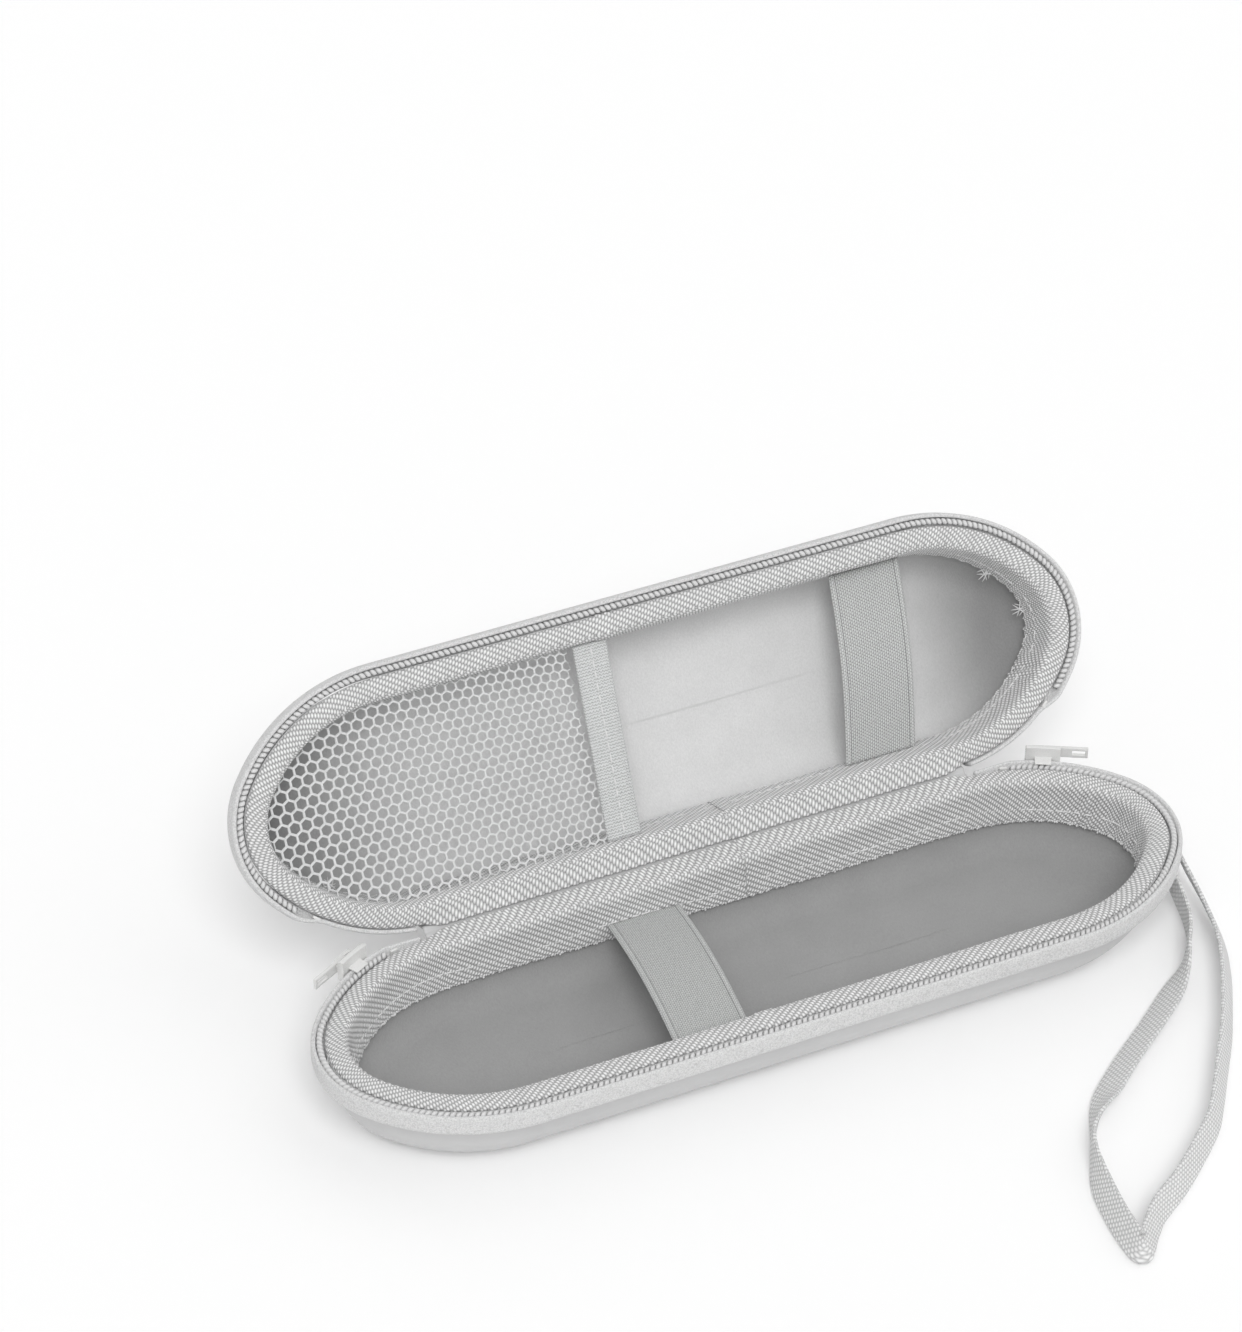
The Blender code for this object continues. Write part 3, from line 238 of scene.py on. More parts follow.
def twill_group():
    """Herringbone twill. Its ribs lean to the edge and turn back at the apex line, with beads of yarn along
    each rib: rib = wave((along * sin(lean) - |across - apex| * cos(lean)) / spacing)."""
    group, given, out = new_group("herringbone_twill", ("Spacing", "Lean", "Apex", "Bead"),
                                  ("Height", "Light"))
    along, across, _ = parts(group, given["Vector"])
    folded = calc(group, "ABSOLUTE", calc(group, "SUBTRACT", across, given["Apex"]))
    sine, cosine = calc(group, "SINE", given["Lean"]), calc(group, "COSINE", given["Lean"])
    square = calc(group, "SUBTRACT", product(group, along, sine), product(group, folded, cosine))
    rib_turn = calc(group, "DIVIDE", square, given["Spacing"])
    line = line_of(group, along, cosine, product(group, folded, sine))
    rib_number = calc(group, "FLOOR", calc(group, "ADD", rib_turn, 0.25))
    bead_turn = line_of(group, rib_number, 0.5, calc(group, "DIVIDE", line, given["Bead"]))
    rib, bead = wave(group, rib_turn, 0.55), wave(group, bead_turn, 0.7)
    height = product(group, rib, line_of(group, bead, 0.55, 0.45))
    # Light is painted shade: darker between the ribs and between the beads of yarn.
    light = product(group, line_of(group, rib, 0.62, 0.38), line_of(group, bead, 0.78, 0.22))
    return put_out(group, out, height, light)


def height_and_gap(group, out, height, power):
    """Puts out a height, and the gap between threads as (1 - height) ** power."""
    return put_out(group, out, height, calc(group, "POWER", calc(group, "SUBTRACT", 1.0, height), power))


def weave_group():
    """Plain weave: threads along and across take turns to lie on top, as a chequer of round bumps."""
    group, given, out = new_group("plain_weave", ("Along", "Across", "Unevenness"), ("Height", "Gap"))
    uneven = calc(group, "SUBTRACT", noise(group, given["Vector"], 1.7, 3.0), 0.5)
    shift = product(group, uneven, given["Unevenness"])
    x, y, _ = parts(group, given["Vector"])
    along = calc(group, "ADD", calc(group, "DIVIDE", x, given["Along"]), shift)
    across = calc(group, "ADD", calc(group, "DIVIDE", y, given["Across"]), shift)
    row = product(group, calc(group, "FLOOR", across), 0.5)
    height = product(group, wave(group, calc(group, "ADD", along, row), 0.7), wave(group, across, 0.6))
    return height_and_gap(group, out, height, 3.0)


def knit_group():
    """Warp knit: columns of small slanted loops, stitch = wave(across / pitch + slant of the column)."""
    group, given, out = new_group("warp_knit", ("Column", "Row", "Slant"), ("Height", "Gap"))
    uneven = calc(group, "SUBTRACT", noise(group, given["Vector"], 0.9, 4.0, 0.65), 0.5)
    x, y, _ = parts(group, given["Vector"])
    column = calc(group, "DIVIDE", y, given["Column"])
    row = calc(group, "DIVIDE", x, given["Row"])
    lean = product(group, calc(group, "PINGPONG", column, 0.5), given["Slant"])
    turn = calc(group, "ADD", calc(group, "ADD", row, lean), product(group, uneven, 1.3))
    middle = calc(group, "ABSOLUTE", calc(group, "SINE", product(group, column, math.pi)))
    height = product(group, wave(group, turn, 0.8), line_of(group, middle, 0.5, 0.5))
    return height_and_gap(group, out, height, 4.0)


def grain_group():
    """Fine leather grain: small cells, broken up by noise."""
    group, given, out = new_group("leather_grain", ("Cell",), ("Height", "Cloud"))
    scale = calc(group, "DIVIDE", 1.0, given["Cell"])
    cell = product(group, cells(group, given["Vector"], scale, 0.7), 0.5)
    height = line_of(group, noise(group, given["Vector"], scale, 4.0), 0.6, cell)
    return put_out(group, out, height, noise(group, given["Vector"], 0.045, 2.0))


def nap_group():
    """Brushed nap: short hairs as stretched noise, and soft clouds where the nap lies over."""
    group, given, out = new_group("brushed_nap", ("Hair",), ("Height", "Cloud"))
    stretched = place(group, "VectorMath", {0: given["Vector"], 1: (1.0, 0.45, 0.7)}, operation="MULTIPLY")
    hair = noise(group, stretched.outputs[0], calc(group, "DIVIDE", 1.0, given["Hair"]), 5.0, 0.7)
    return put_out(group, out, hair, noise(group, given["Vector"], 0.07, 3.0))


GROUPS = {"twill": twill_group(), "weave": weave_group(), "knit": knit_group(), "grain": grain_group(),
          "nap": nap_group()}


# Materials

def start_material(name, roughness, **fixed):
    """A material with its Principled shader: the fixed values are set on the shader's own sockets."""
    material = bpy.data.materials.new(name)
    material.use_nodes = True
    tree = material.node_tree
    shader = tree.nodes["Principled BSDF"]
    shader.inputs["Roughness"].default_value = roughness
    for key, value in fixed.items():
        shader.inputs[key.replace("_", " ")].default_value = value
    return material, tree, shader


def surface_mm(tree):
    """The piece's own UV map, which is in millimetres along and across."""
    return place(tree, "TexCoord").outputs["UV"]


def object_mm(tree):
    """Object coordinates in millimetres."""
    return scaled(tree, place(tree, "TexCoord").outputs["Object"], 1 / MM)


def use_group(tree, key, vector, **values):
    return place(tree, "Group", {"Vector": vector, **values}, node_tree=GROUPS[key]).outputs


def blend_colours(tree, share, low, high):
    """A colour between two, by a share from 0 to 1. A single number is a grey."""
    low, high = ((c, c, c, 1.0) if isinstance(c, float) else (*c, 1.0) for c in (low, high))
    return place(tree, "Mix", {0: share, 6: low, 7: high}, data_type="RGBA").outputs[2]


def finish_material(tree, shader, colour, height, depth_mm, strength=0.8):
    """Joins the colour to the shader, and the fine relief that lies on the geometry's own."""
    tree.links.new(colour, shader.inputs["Base Color"])
    bump = place(tree, "Bump", {"Height": height, "Distance": depth_mm * MM, "Strength": strength})
    tree.links.new(bump.outputs["Normal"], shader.inputs["Normal"])


def leatherette_material(name, low, high, roughness):
    material, tree, shader = start_material(name, roughness, Specular_IOR_Level=0.45, Sheen_Weight=0.08)
    grain = use_group(tree, "grain", object_mm(tree), Cell=0.42)
    rough = remap(tree, grain["Height"], 0.2, 0.8, roughness - 0.05, roughness + 0.12)
    tree.links.new(rough, shader.inputs["Roughness"])
    finish_material(tree, shader, blend_colours(tree, grain["Cloud"], low, high), grain["Height"], 0.10, 0.6)
    return material


def painted_wall_shade(tree, colour, ends):
    """Painted shade towards the walls and ends: the colour is scaled by soft steps of the distance along the
    case. ends = (dark left, light from, light to, dark right, least), in millimetres and a share."""
    along = parts(tree, object_mm(tree))["X"]
    left, first, last, right, least = ends
    rise = remap(tree, along, left, first, least, 1.0, "SMOOTHSTEP")
    fall = remap(tree, along, last, right, 1.0, least, "SMOOTHSTEP")
    return scaled(tree, colour, calc(tree, "MINIMUM", rise, fall))


def nap_material(name, low, high, ends=None):
    material, tree, shader = start_material(name, 0.95, Sheen_Weight=0.45, Sheen_Roughness=0.5)
    nap = use_group(tree, "nap", object_mm(tree), Hair=0.4)
    colour = blend_colours(tree, nap["Cloud"], low, high)
    # Painted shade: the lining's colour darkens towards the case's ends and walls.
    if ends is not None:
        colour = painted_wall_shade(tree, colour, ends)
    colour = scaled(tree, colour, remap(tree, nap["Height"], 0.3, 0.7, 0.90, 1.06))
    finish_material(tree, shader, colour, nap["Height"], 0.25, 0.5)
    return material


def twill_material(name, gap_shade_colour, yarn_colour, spacing, lean, apex, bead):
    material, tree, shader = start_material(name, 0.85, Sheen_Weight=0.2)
    vector = surface_mm(tree)
    twill = use_group(tree, "twill", vector, Spacing=spacing, Lean=lean, Apex=apex, Bead=bead)
    # Painted shade: the gap colour darkens the grooves between the ribs and beads.
    light = product(tree, twill["Light"], line_of(tree, noise(tree, vector, 0.25, 3.0), 0.4, 0.8))
    height = calc(tree, "ADD", twill["Height"], product(tree, noise(tree, vector, 9.0, 3.0), 0.2))
    finish_material(tree, shader, blend_colours(tree, light, gap_shade_colour, yarn_colour), height, 0.25)
    return material


def felted_material(name, low, high, cells_per_mm=2.2):
    """Close warp knit seen from a step away: small irregular cells of yarn, from a cell pattern and noise."""
    material, tree, shader = start_material(name, 0.9, Sheen_Weight=0.25)
    vector = object_mm(tree)
    cell = product(tree, calc(tree, "SUBTRACT", 1.0, cells(tree, vector, cells_per_mm, 0.5)), 0.5)
    grain = line_of(tree, noise(tree, vector, 1.5 * cells_per_mm, 4.0, 0.7), 0.9, cell)
    finish_material(tree, shader, blend_colours(tree, remap(tree, grain, 0.45, 0.95), low, high), grain, 0.30)
    return material


def knit_material(name, gap_shade_colour, yarn_colour, column, row, depth):
    material, tree, shader = start_material(name, 0.85, Sheen_Weight=0.2)
    vector = surface_mm(tree)
    knit = use_group(tree, "knit", vector, Column=column, Row=row, Slant=0.9)
    # Painted shade: the gap colour darkens the gaps between the loops.
    light = calc(tree, "SUBTRACT", 1.0, knit["Gap"])
    height = calc(tree, "ADD", knit["Height"], product(tree, noise(tree, vector, 6.0, 4.0), 0.35))
    finish_material(tree, shader, blend_colours(tree, light, gap_shade_colour, yarn_colour), height, depth)
    return material


def weave_material(name, gap_shade_colour, yarn_colour, along, across, depth, unevenness=0.2, edge=None):
    """Plain weave, with painted shade in the gaps between threads. Where edge is (width, selvedge), a paler
    selvedge runs inside each edge, past a groove that is painted darker as shade.
    """
    material, tree, shader = start_material(name, 0.85, Sheen_Weight=0.2)
    vector = surface_mm(tree)
    weave = use_group(tree, "weave", vector, Along=along, Across=across, Unevenness=unevenness)
    # Painted shade: the gap colour darkens the gaps between the threads.
    colour = blend_colours(tree, calc(tree, "SUBTRACT", 1.0, weave["Gap"]), gap_shade_colour, yarn_colour)
    height = weave["Height"]
    if edge is not None:
        width, selvedge = edge
        inside = calc(tree, "PINGPONG", parts(tree, vector)["Y"], width / 2)
        pale = product(tree, calc(tree, "LESS_THAN", inside, selvedge), 0.45)
        lifted = blend_colours(tree, pale, 0.0, 0.12)
        colour = place(tree, "VectorMath", {0: colour, 1: lifted}, operation="ADD").outputs[0]
        # Painted shade: the groove inside each selvedge is darkened.
        groove = calc(tree, "COMPARE", inside, selvedge, 0.18)
        colour = scaled(tree, colour, line_of(tree, groove, -0.35, 1.0))
        height = calc(tree, "SUBTRACT", height, product(tree, groove, 1.5))
    finish_material(tree, shader, colour, height, depth)
    return material


def smooth_material(name, low, high, roughness, metallic=0.0, coat=0.0):
    """Moulded, enamelled or plated surface with faint clouds and fine scratches in its roughness."""
    material, tree, shader = start_material(name, roughness, Metallic=metallic, Coat_Weight=coat)
    vector = object_mm(tree)
    colour = blend_colours(tree, noise(tree, vector, 0.4, 3.0), low, high)
    tree.links.new(colour, shader.inputs["Base Color"])
    marks = noise(tree, vector, 3.0, 5.0, 0.7)
    rough = remap(tree, marks, 0.3, 0.7, roughness * 0.8, roughness * 1.3)
    tree.links.new(rough, shader.inputs["Roughness"])
    return material


def floor_material():
    """Matt white table. The camera, mirrors and glass see it a little lighter, so that it meets the white."""
    material, tree, shader = start_material("white_table", 0.9, Specular_IOR_Level=0.1, Emission_Strength=1.0,
                                            Base_Color=(0.92, 0.92, 0.92, 1))
    rays = place(tree, "LightPath").outputs
    seen = calc(tree, "MAXIMUM", rays["Is Camera Ray"],
                calc(tree, "MAXIMUM", rays["Is Glossy Ray"], rays["Is Transmission Ray"]))
    tree.links.new(blend_colours(tree, seen, 0.0, 0.10), shader.inputs["Emission Color"])
    return material


RIB_SPACING = 1.42
RIB_LEAN = math.radians(36)
APEX_LINE = 5.4
YARN_BEAD = 0.86
ELASTIC_EDGE = (20.9, 1.7)

MATERIALS = {
    "leatherette": leatherette_material("satin_leatherette", (0.585, 0.585, 0.59), 0.655, 0.42),
    "foam": nap_material("moulded_foam", 0.50, 0.56),
    # One lining fabric in two copies: the base's is painted darker as shade, the lid's painted lighter as
    # light, with painted shade towards its ends.
    "base_lining": nap_material("base_brushed_lining", 0.31, 0.37),
    "lid_lining": nap_material("lid_brushed_lining", 0.67, 0.79, (-112, -60, 68, 104, 0.42)),
    "tape": felted_material("knitted_tape", 0.58, 0.86),
    "coil": smooth_material("moulded_coil", 0.66, 0.76, 0.45),
    "coil_cord": weave_material("coil_cord", 0.22, 0.40, 0.7, 0.5, 0.15),
    "binding": twill_material("herringbone_binding", (0.20, 0.20, 0.202), 1.0, RIB_SPACING, RIB_LEAN,
                              APEX_LINE, YARN_BEAD),
    "thread": smooth_material("sewing_thread", 0.70, 0.84, 0.7),
    "base_elastic": weave_material("base_woven_elastic", (0.28, 0.285, 0.282), (0.60, 0.61, 0.605), 0.75,
                                   0.55, 0.12, 0.8, ELASTIC_EDGE),
    "lid_elastic": weave_material("lid_woven_elastic", (0.26, 0.265, 0.262), (0.66, 0.67, 0.665), 0.9, 0.62,
                                  0.14, 0.5, ELASTIC_EDGE),
    "band": knit_material("pocket_band_knit", (0.34, 0.345, 0.345), (0.72, 0.73, 0.73), 0.9, 0.8, 0.16),
    "net": smooth_material("net_yarn", (0.66, 0.665, 0.665), (0.80, 0.805, 0.805), 0.7),
    "enamel": smooth_material("white_enamel", (0.74, 0.74, 0.73), (0.80, 0.80, 0.79), 0.28, 0.0, 0.4),
    "metal": smooth_material("bright_plating", (0.60, 0.60, 0.61), (0.70, 0.70, 0.71), 0.18, 1.0),
    "webbing": twill_material("twilled_webbing", 0.44, 0.96, 1.15, math.radians(52), -40, 1.15),
    "sewn_webbing": felted_material("sewn_webbing", 0.46, 0.82, 2.0),
    "floor": floor_material(),
}


# Mesh helpers

def tube_quads(rows, columns):
    """Row and column numbers of each quad's corners, in a grid whose last column meets its first:
    (i, j), (i + 1, j), (i + 1, j + 1), (i, j + 1)."""
    i, j = np.meshgrid(np.arange(rows - 1), np.arange(columns), indexing="ij")
    i, j = i.ravel(), j.ravel()
    return np.stack([i, i + 1, i + 1, i], 1), np.stack([j, j, j + 1, j + 1], 1)


def signed_volume(points, quads):
    """Six times the volume inside quads: the sum of a . (b x c) over their triangles."""
    a, b, c, d = (points[quads[:, k]] for k in range(4))
    return np.sum(a * np.cross(b, c)) + np.sum(a * np.cross(c, d))


def write_mesh(name, points, faces, corner_uv, material_name):
    """One mesh object from points, faces as lists of point numbers, and UVs for the faces' corners."""
    mesh = bpy.data.meshes.new(name)
    mesh.from_pydata(points.tolist(), [], faces)
    layer = mesh.uv_layers.new(name="UVMap")
    layer.data.foreach_set("uv", np.asarray(corner_uv, np.float32).ravel())
    mesh.polygons.foreach_set("use_smooth", np.full(len(faces), True))
    mesh.materials.append(MATERIALS[material_name])
    mesh.update()
    item = bpy.data.objects.new(name, mesh)
    bpy.context.collection.objects.link(item)
    return item


def grid_surface(name, points, material_name, u_mm, v_mm):
    """A closed piece from a grid of points: its columns meet, one face closes the first row and one the last,
    and all faces are turned outwards. v_mm has one more value than the columns, for the seam."""
    rows, columns = points.shape[:2]
    i, j = tube_quads(rows, columns)
    quads = i * columns + j % columns
    uv = np.stack([np.asarray(u_mm)[i], np.asarray(v_mm)[j]], 2)
    first = list(range(columns))
    last = list(range((rows - 1) * columns, rows * columns))[::-1]
    flat = points.reshape(-1, 3)
    if signed_volume(flat, quads) < 0:
        quads, uv, first, last = quads[:, ::-1], uv[:, ::-1], first[::-1], last[::-1]
    cap_uv = [(0.0, v_mm[k]) for k in range(columns)]
    corner_uv = np.concatenate([uv.reshape(-1, 2), cap_uv, cap_uv])
    return write_mesh(name, flat, quads.tolist() + [first, last], corner_uv, material_name)


def outward_quads(name, points, quads, material_name):
    """A closed piece from quads alone, turned outwards, for finishes that use no UVs."""
    if signed_volume(points, quads) < 0:
        quads = quads[:, ::-1]
    return write_mesh(name, points, quads.tolist(), np.zeros((quads.size, 2)), material_name)


def line_lengths(points):
    """Running length along a line of points, in millimetres."""
    steps = np.linalg.norm(np.diff(points, axis=0), axis=1)
    return np.concatenate([[0], np.cumsum(steps)]) / MM


def smooth_line(points, count, closed=False):
    """A smooth line through points: Catmull-Rom pieces, taken again at equal steps of length."""
    points = np.asarray(points, float)
    if closed:
        ring = np.concatenate([points[-1:], points, points[:2]])
    else:
        ring = np.concatenate([2 * points[:1] - points[1:2], points, 2 * points[-1:] - points[-2:-1]])
    fine = 12
    t = np.linspace(0, 1, fine, endpoint=False)[None, :, None]
    p0, p1, p2, p3 = (ring[k:len(ring) - 3 + k][:, None] for k in range(4))
    line = 0.5 * (2 * p1 + (p2 - p0) * t + (2 * p0 - 5 * p1 + 4 * p2 - p3) * t ** 2
                  + (3 * p1 - p0 - 3 * p2 + p3) * t ** 3)
    line = line.reshape(-1, points.shape[1])
    line = np.concatenate([line, points[:1] if closed else points[-1:]])
    run = line_lengths(line)
    wanted = np.linspace(0, run[-1], count + 1 if closed else count)
    result = np.stack([np.interp(wanted, run, line[:, k]) for k in range(points.shape[1])], 1)
    return result[:-1] if closed else result


def ease(value, low, high):
    """A smooth step from 0 to 1 between two values."""
    t = np.clip((value - low) / (high - low), 0, 1)
    return t * t * (3 - 2 * t)


def finish_piece(item, body, slot, *nodes):
    """The piece rides on a body and may stand for nodes, whose solids are hidden. The slot is not used."""
    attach(item, body)
    if nodes:
        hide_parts(*nodes)


# Outline

SIDE_ARC = SIDE_RADIUS * (math.pi / 2 - JUNCTION_ANGLE)
TIP_ARC = 2 * TIP_RADIUS * JUNCTION_ANGLE
SIDE_END = STRAIGHT_HALF + SIDE_ARC
TIP_END = SIDE_END + TIP_ARC
FRONT_START = TIP_END + SIDE_ARC
LOOP_LENGTH = 2 * (FRONT_START + STRAIGHT_HALF)


def outline(distance):
    """Place and outward direction on the outline after a distance from the spine's middle, first to the
    right: a straight, a side arc, a tip arc, a side arc, the front straight; then their mirror images."""
    s = np.mod(distance, LOOP_LENGTH)
    side = np.where(s > LOOP_LENGTH / 2, -1.0, 1.0)
    q = np.where(s > LOOP_LENGTH / 2, LOOP_LENGTH - s, s)
    zones = [q < STRAIGHT_HALF, q < SIDE_END, q < TIP_END, q < FRONT_START]
    angle = np.select(zones, [np.full_like(q, math.pi / 2), math.pi / 2 - (q - STRAIGHT_HALF) / SIDE_RADIUS,
                              JUNCTION_ANGLE - (q - SIDE_END) / TIP_RADIUS,
                              -JUNCTION_ANGLE - (q - TIP_END) / SIDE_RADIUS], -math.pi / 2)
    nx, ny = np.cos(angle), np.sin(angle)
    x = np.select(zones, [q, STRAIGHT_HALF + SIDE_RADIUS * nx, TIP_CENTRE_X + TIP_RADIUS * nx,
                          STRAIGHT_HALF + SIDE_RADIUS * nx], FRONT_START + STRAIGHT_HALF - q)
    y = np.select(zones, [np.full_like(q, CASE_WIDTH / 2), SIDE_CENTRE_Y + SIDE_RADIUS * ny, TIP_RADIUS * ny,
                          -SIDE_CENTRE_Y + SIDE_RADIUS * ny], -CASE_WIDTH / 2)
    return x * side, y, nx * side, ny


def from_spine(distance):
    """A distance along the outline as a signed one from the spine's middle, positive to the right."""
    return np.mod(distance + LOOP_LENGTH / 2, LOOP_LENGTH) - LOOP_LENGTH / 2


def sweep(distance, inset, height):
    """Points at an inset inside the outline and at a height: place - outward direction * inset."""
    x, y, nx, ny = (v[:, None] for v in outline(distance))
    inset = np.broadcast_to(inset, (len(distance), np.shape(inset)[-1]))
    height = np.broadcast_to(height, inset.shape)
    return np.stack([x - nx * inset, y - ny * inset, height], 2)


def to_lid(points):
    """The lid's place for a point of the base: turned over in the seam plane, then opened about the hinge."""
    y = points[..., 1] - HINGE_Y
    z = HALF_DEPTH - points[..., 2]
    c, s = math.cos(LID_ANGLE), math.sin(LID_ANGLE)
    return np.stack([points[..., 0], HINGE_Y + y * c - z * s, HALF_DEPTH + y * s + z * c], -1)


def in_half(points, half):
    return to_lid(points) if half == "lid" else points


def wall_inset(height, offset):
    """Inset of the tapered wall at a height, for a face that lies offset inside the cover's outside."""
    low_inset = COVER_SET_IN + WALL_TAPER + CORNER_RADIUS - (CORNER_RADIUS - offset) * math.cos(CORNER_START)
    low_z = CORNER_RADIUS - (CORNER_RADIUS - offset) * math.sin(CORNER_START)
    top_inset = COVER_SET_IN + offset
    return top_inset + (low_inset - top_inset) * (RIM_Z - height) / (RIM_Z - low_z)


# Moulded walls

def wall_profile(offset, count):
    """Wall and corner of one face from the rim to the flat floor: a straight taper and a quarter arc."""
    low_z = CORNER_RADIUS - (CORNER_RADIUS - offset) * math.sin(CORNER_START)
    straight_z = np.linspace(RIM_Z, low_z, count // 3, endpoint=False)
    angle = np.linspace(CORNER_START, math.pi / 2, count - len(straight_z))
    radius = CORNER_RADIUS - offset
    inset = COVER_SET_IN + WALL_TAPER + CORNER_RADIUS - radius * np.cos(angle)
    return (np.concatenate([wall_inset(straight_z, offset), inset]),
            np.concatenate([straight_z, CORNER_RADIUS - radius * np.sin(angle)]))


def floor_rings(ring, count):
    """Rings that shrink from the floor's edge to the case's middle line: ring * (1 - t) + core * t."""
    core = ring.copy()
    core[:, 0] = np.clip(ring[:, 0], -STRAIGHT_HALF, STRAIGHT_HALF)
    core[:, 1] = 0
    t = np.linspace(0, 1, count + 1)[1:]
    t[-1] = 0.985
    return ring[None] * (1 - t[:, None, None]) + core[None] * t[:, None, None]


def moulded_layer(name, half, offset, thickness, material_name, stations=420, profile_count=30, relief=None):
    """A closed layer. Rings run from the floor's middle up the outer face, over the rim and down the inner
    face to the middle again; relief moves the inner face's points by a height over the outline."""
    distance = np.linspace(0, LOOP_LENGTH, stations, endpoint=False)
    outer = sweep(distance, *wall_profile(offset, profile_count)).transpose(1, 0, 2)
    inner = sweep(distance, *wall_profile(offset + thickness, profile_count)).transpose(1, 0, 2)
    outer_floor = floor_rings(outer[-1], 6)
    inner_floor = floor_rings(inner[-1], 10)
    rings = np.concatenate([outer_floor[::-1], outer[::-1], inner, inner_floor])
    if relief is not None:
        rings = relief(rings, len(outer_floor) + len(outer))
    v = np.linspace(0, LOOP_LENGTH / MM, stations + 1)
    return grid_surface(name, in_half(rings, half), material_name, line_lengths(rings[:, 0]), v)


def lining_relief(rings, first_inner):
    """Soft unevenness of the lining's inner face: a sum of slow waves, up to 0.15 mm."""
    x, y = rings[..., 0] / MM, rings[..., 1] / MM
    bumps = np.sin(x / 9 + 1.3 * np.sin(y / 7)) * np.cos(y / 8 + 0.7 * np.sin(x / 13))
    share = np.zeros(len(rings))[:, None]
    share[first_inner + 4:] = 1
    rings[..., 2] += share * 0.15 * MM * bumps
    return rings


def make_walls():
    for half in ("base", "lid"):
        body = "case_" + half
        cover = moulded_layer(half + "_cover_skin", half, 0, COVER_THICKNESS, "leatherette")
        finish_piece(cover, body, "leatherette", half + "_cover")
        foam = moulded_layer(half + "_foam_wall", half, SHELL_OFFSET, SHELL_THICKNESS, "foam", 200, 16)
        finish_piece(foam, body, "foam", half + "_foam_shell")
        lining = moulded_layer(half + "_brushed_lining", half, LINING_OFFSET, LINING_THICKNESS,
                               half + "_lining", relief=lining_relief)
        finish_piece(lining, body, "lining", half + "_lining")


# Binding

BINDING_PROFILE = np.array([
    (3.05, 23.45), (3.02, 24.0), (3.5, 24.45), (4.5, 24.62), (5.8, 24.66), (7.1, 24.5), (8.1, 23.9),
    (8.6, 22.8), (8.85, 21.0), (9.35, 18.0), (9.85, 15.2), (10.15, 13.2), (10.2, 12.3), (9.95, 12.05),
    (9.6, 12.3), (8.9, 16.0), (8.2, 20.0), (7.6, 23.4), (5.5, 23.5)]) * MM
EDGE_ACROSS = 12.4
BINDING_SEEDS = {"base": 0.4, "lid": 2.1}
BINDING_SEEN_COUNT = 54
BINDING_HIDDEN_COUNT = 17
BINDING_STATIONS = 1370
BINDING_SEAM = 9 * MM
SEAM_LAP = 0.3
TUCKS_AT = 137
GATHERS_AT = 114
LIP_REACH = 1.7 * MM
LIP_RISE = 0.55 * MM
LIP_ROOT = 5.5 * MM
LIP_LIMIT = CASE_WIDTH / 2 - HINGE_Y + 0.1 * MM


def binding_relief(along, across, seed):
    """Height of the binding over its plain form, in millimetres: ribs of the twill, slow waves, and tucks
    where it goes round the ends, which deepen towards its inner edge, with one place gathered tighter."""
    folded = np.abs(across - APEX_LINE)
    square = along * math.sin(RIB_LEAN) - folded * math.cos(RIB_LEAN)
    rib = (0.5 + 0.5 * np.sin(2 * math.pi * square / RIB_SPACING)) ** 0.6
    slow = np.sin(along / 11 + seed) * 0.12 + np.sin(along / 4.3 + 2 * seed) * 0.06
    signed = from_spine(along * MM) / MM
    end = np.exp(-((np.abs(signed) - TUCKS_AT) / 24) ** 2)
    pinch = np.exp(-((signed - GATHERS_AT) / 4) ** 2)
    depth = ease(across, 7, 15)
    line = along + 0.35 * (across - 12)
    folds = 0.42 * np.sin(line / 0.9 + 1.8 * np.sin(line / 9 + seed)) + 0.25 * np.sin(line / 2.6)
    gathers = pinch * ease(across, 5, 11) * 0.38 * np.sin(line / 0.62)
    return 0.20 * rib + slow * (0.3 + 0.5 * depth) + end * depth * folds + gathers


def frayed_edge(along, seed):
    """How far the inner edge rises, in metres: a saw line that follows the ribs' ends, and a slow wave."""
    rib_turn = (along * math.sin(RIB_LEAN) - EDGE_ACROSS * math.cos(RIB_LEAN)) / RIB_SPACING
    saw = np.abs(np.mod(rib_turn + 0.25, 1) * 2 - 1)
    return (0.55 * saw + 0.25 * np.sin(along / 7.7 + seed)) * MM


def binding_profile():
    """The closed profile with close points on the side that shows and wider ones behind, its running lengths
    and its outward normals."""
    fine = smooth_line(BINDING_PROFILE, 700, closed=True)
    run = line_lengths(np.concatenate([fine, fine[:1]]))
    seen_end = run[np.argmin(fine[:, 1])]
    wanted = np.concatenate([np.linspace(0, seen_end, BINDING_SEEN_COUNT, endpoint=False),
                             np.linspace(seen_end, run[-1], BINDING_HIDDEN_COUNT, endpoint=False)])
    profile = np.stack([np.interp(wanted, run[:-1], fine[:, k]) for k in range(2)], 1)
    tangent = np.roll(profile, -1, 0) - np.roll(profile, 1, 0)
    tangent /= np.linalg.norm(tangent, axis=1)[:, None]
    normal = np.stack([-tangent[:, 1], tangent[:, 0]], 1)
    return profile, np.append(wanted, run[-1]), normal, wanted < seen_end


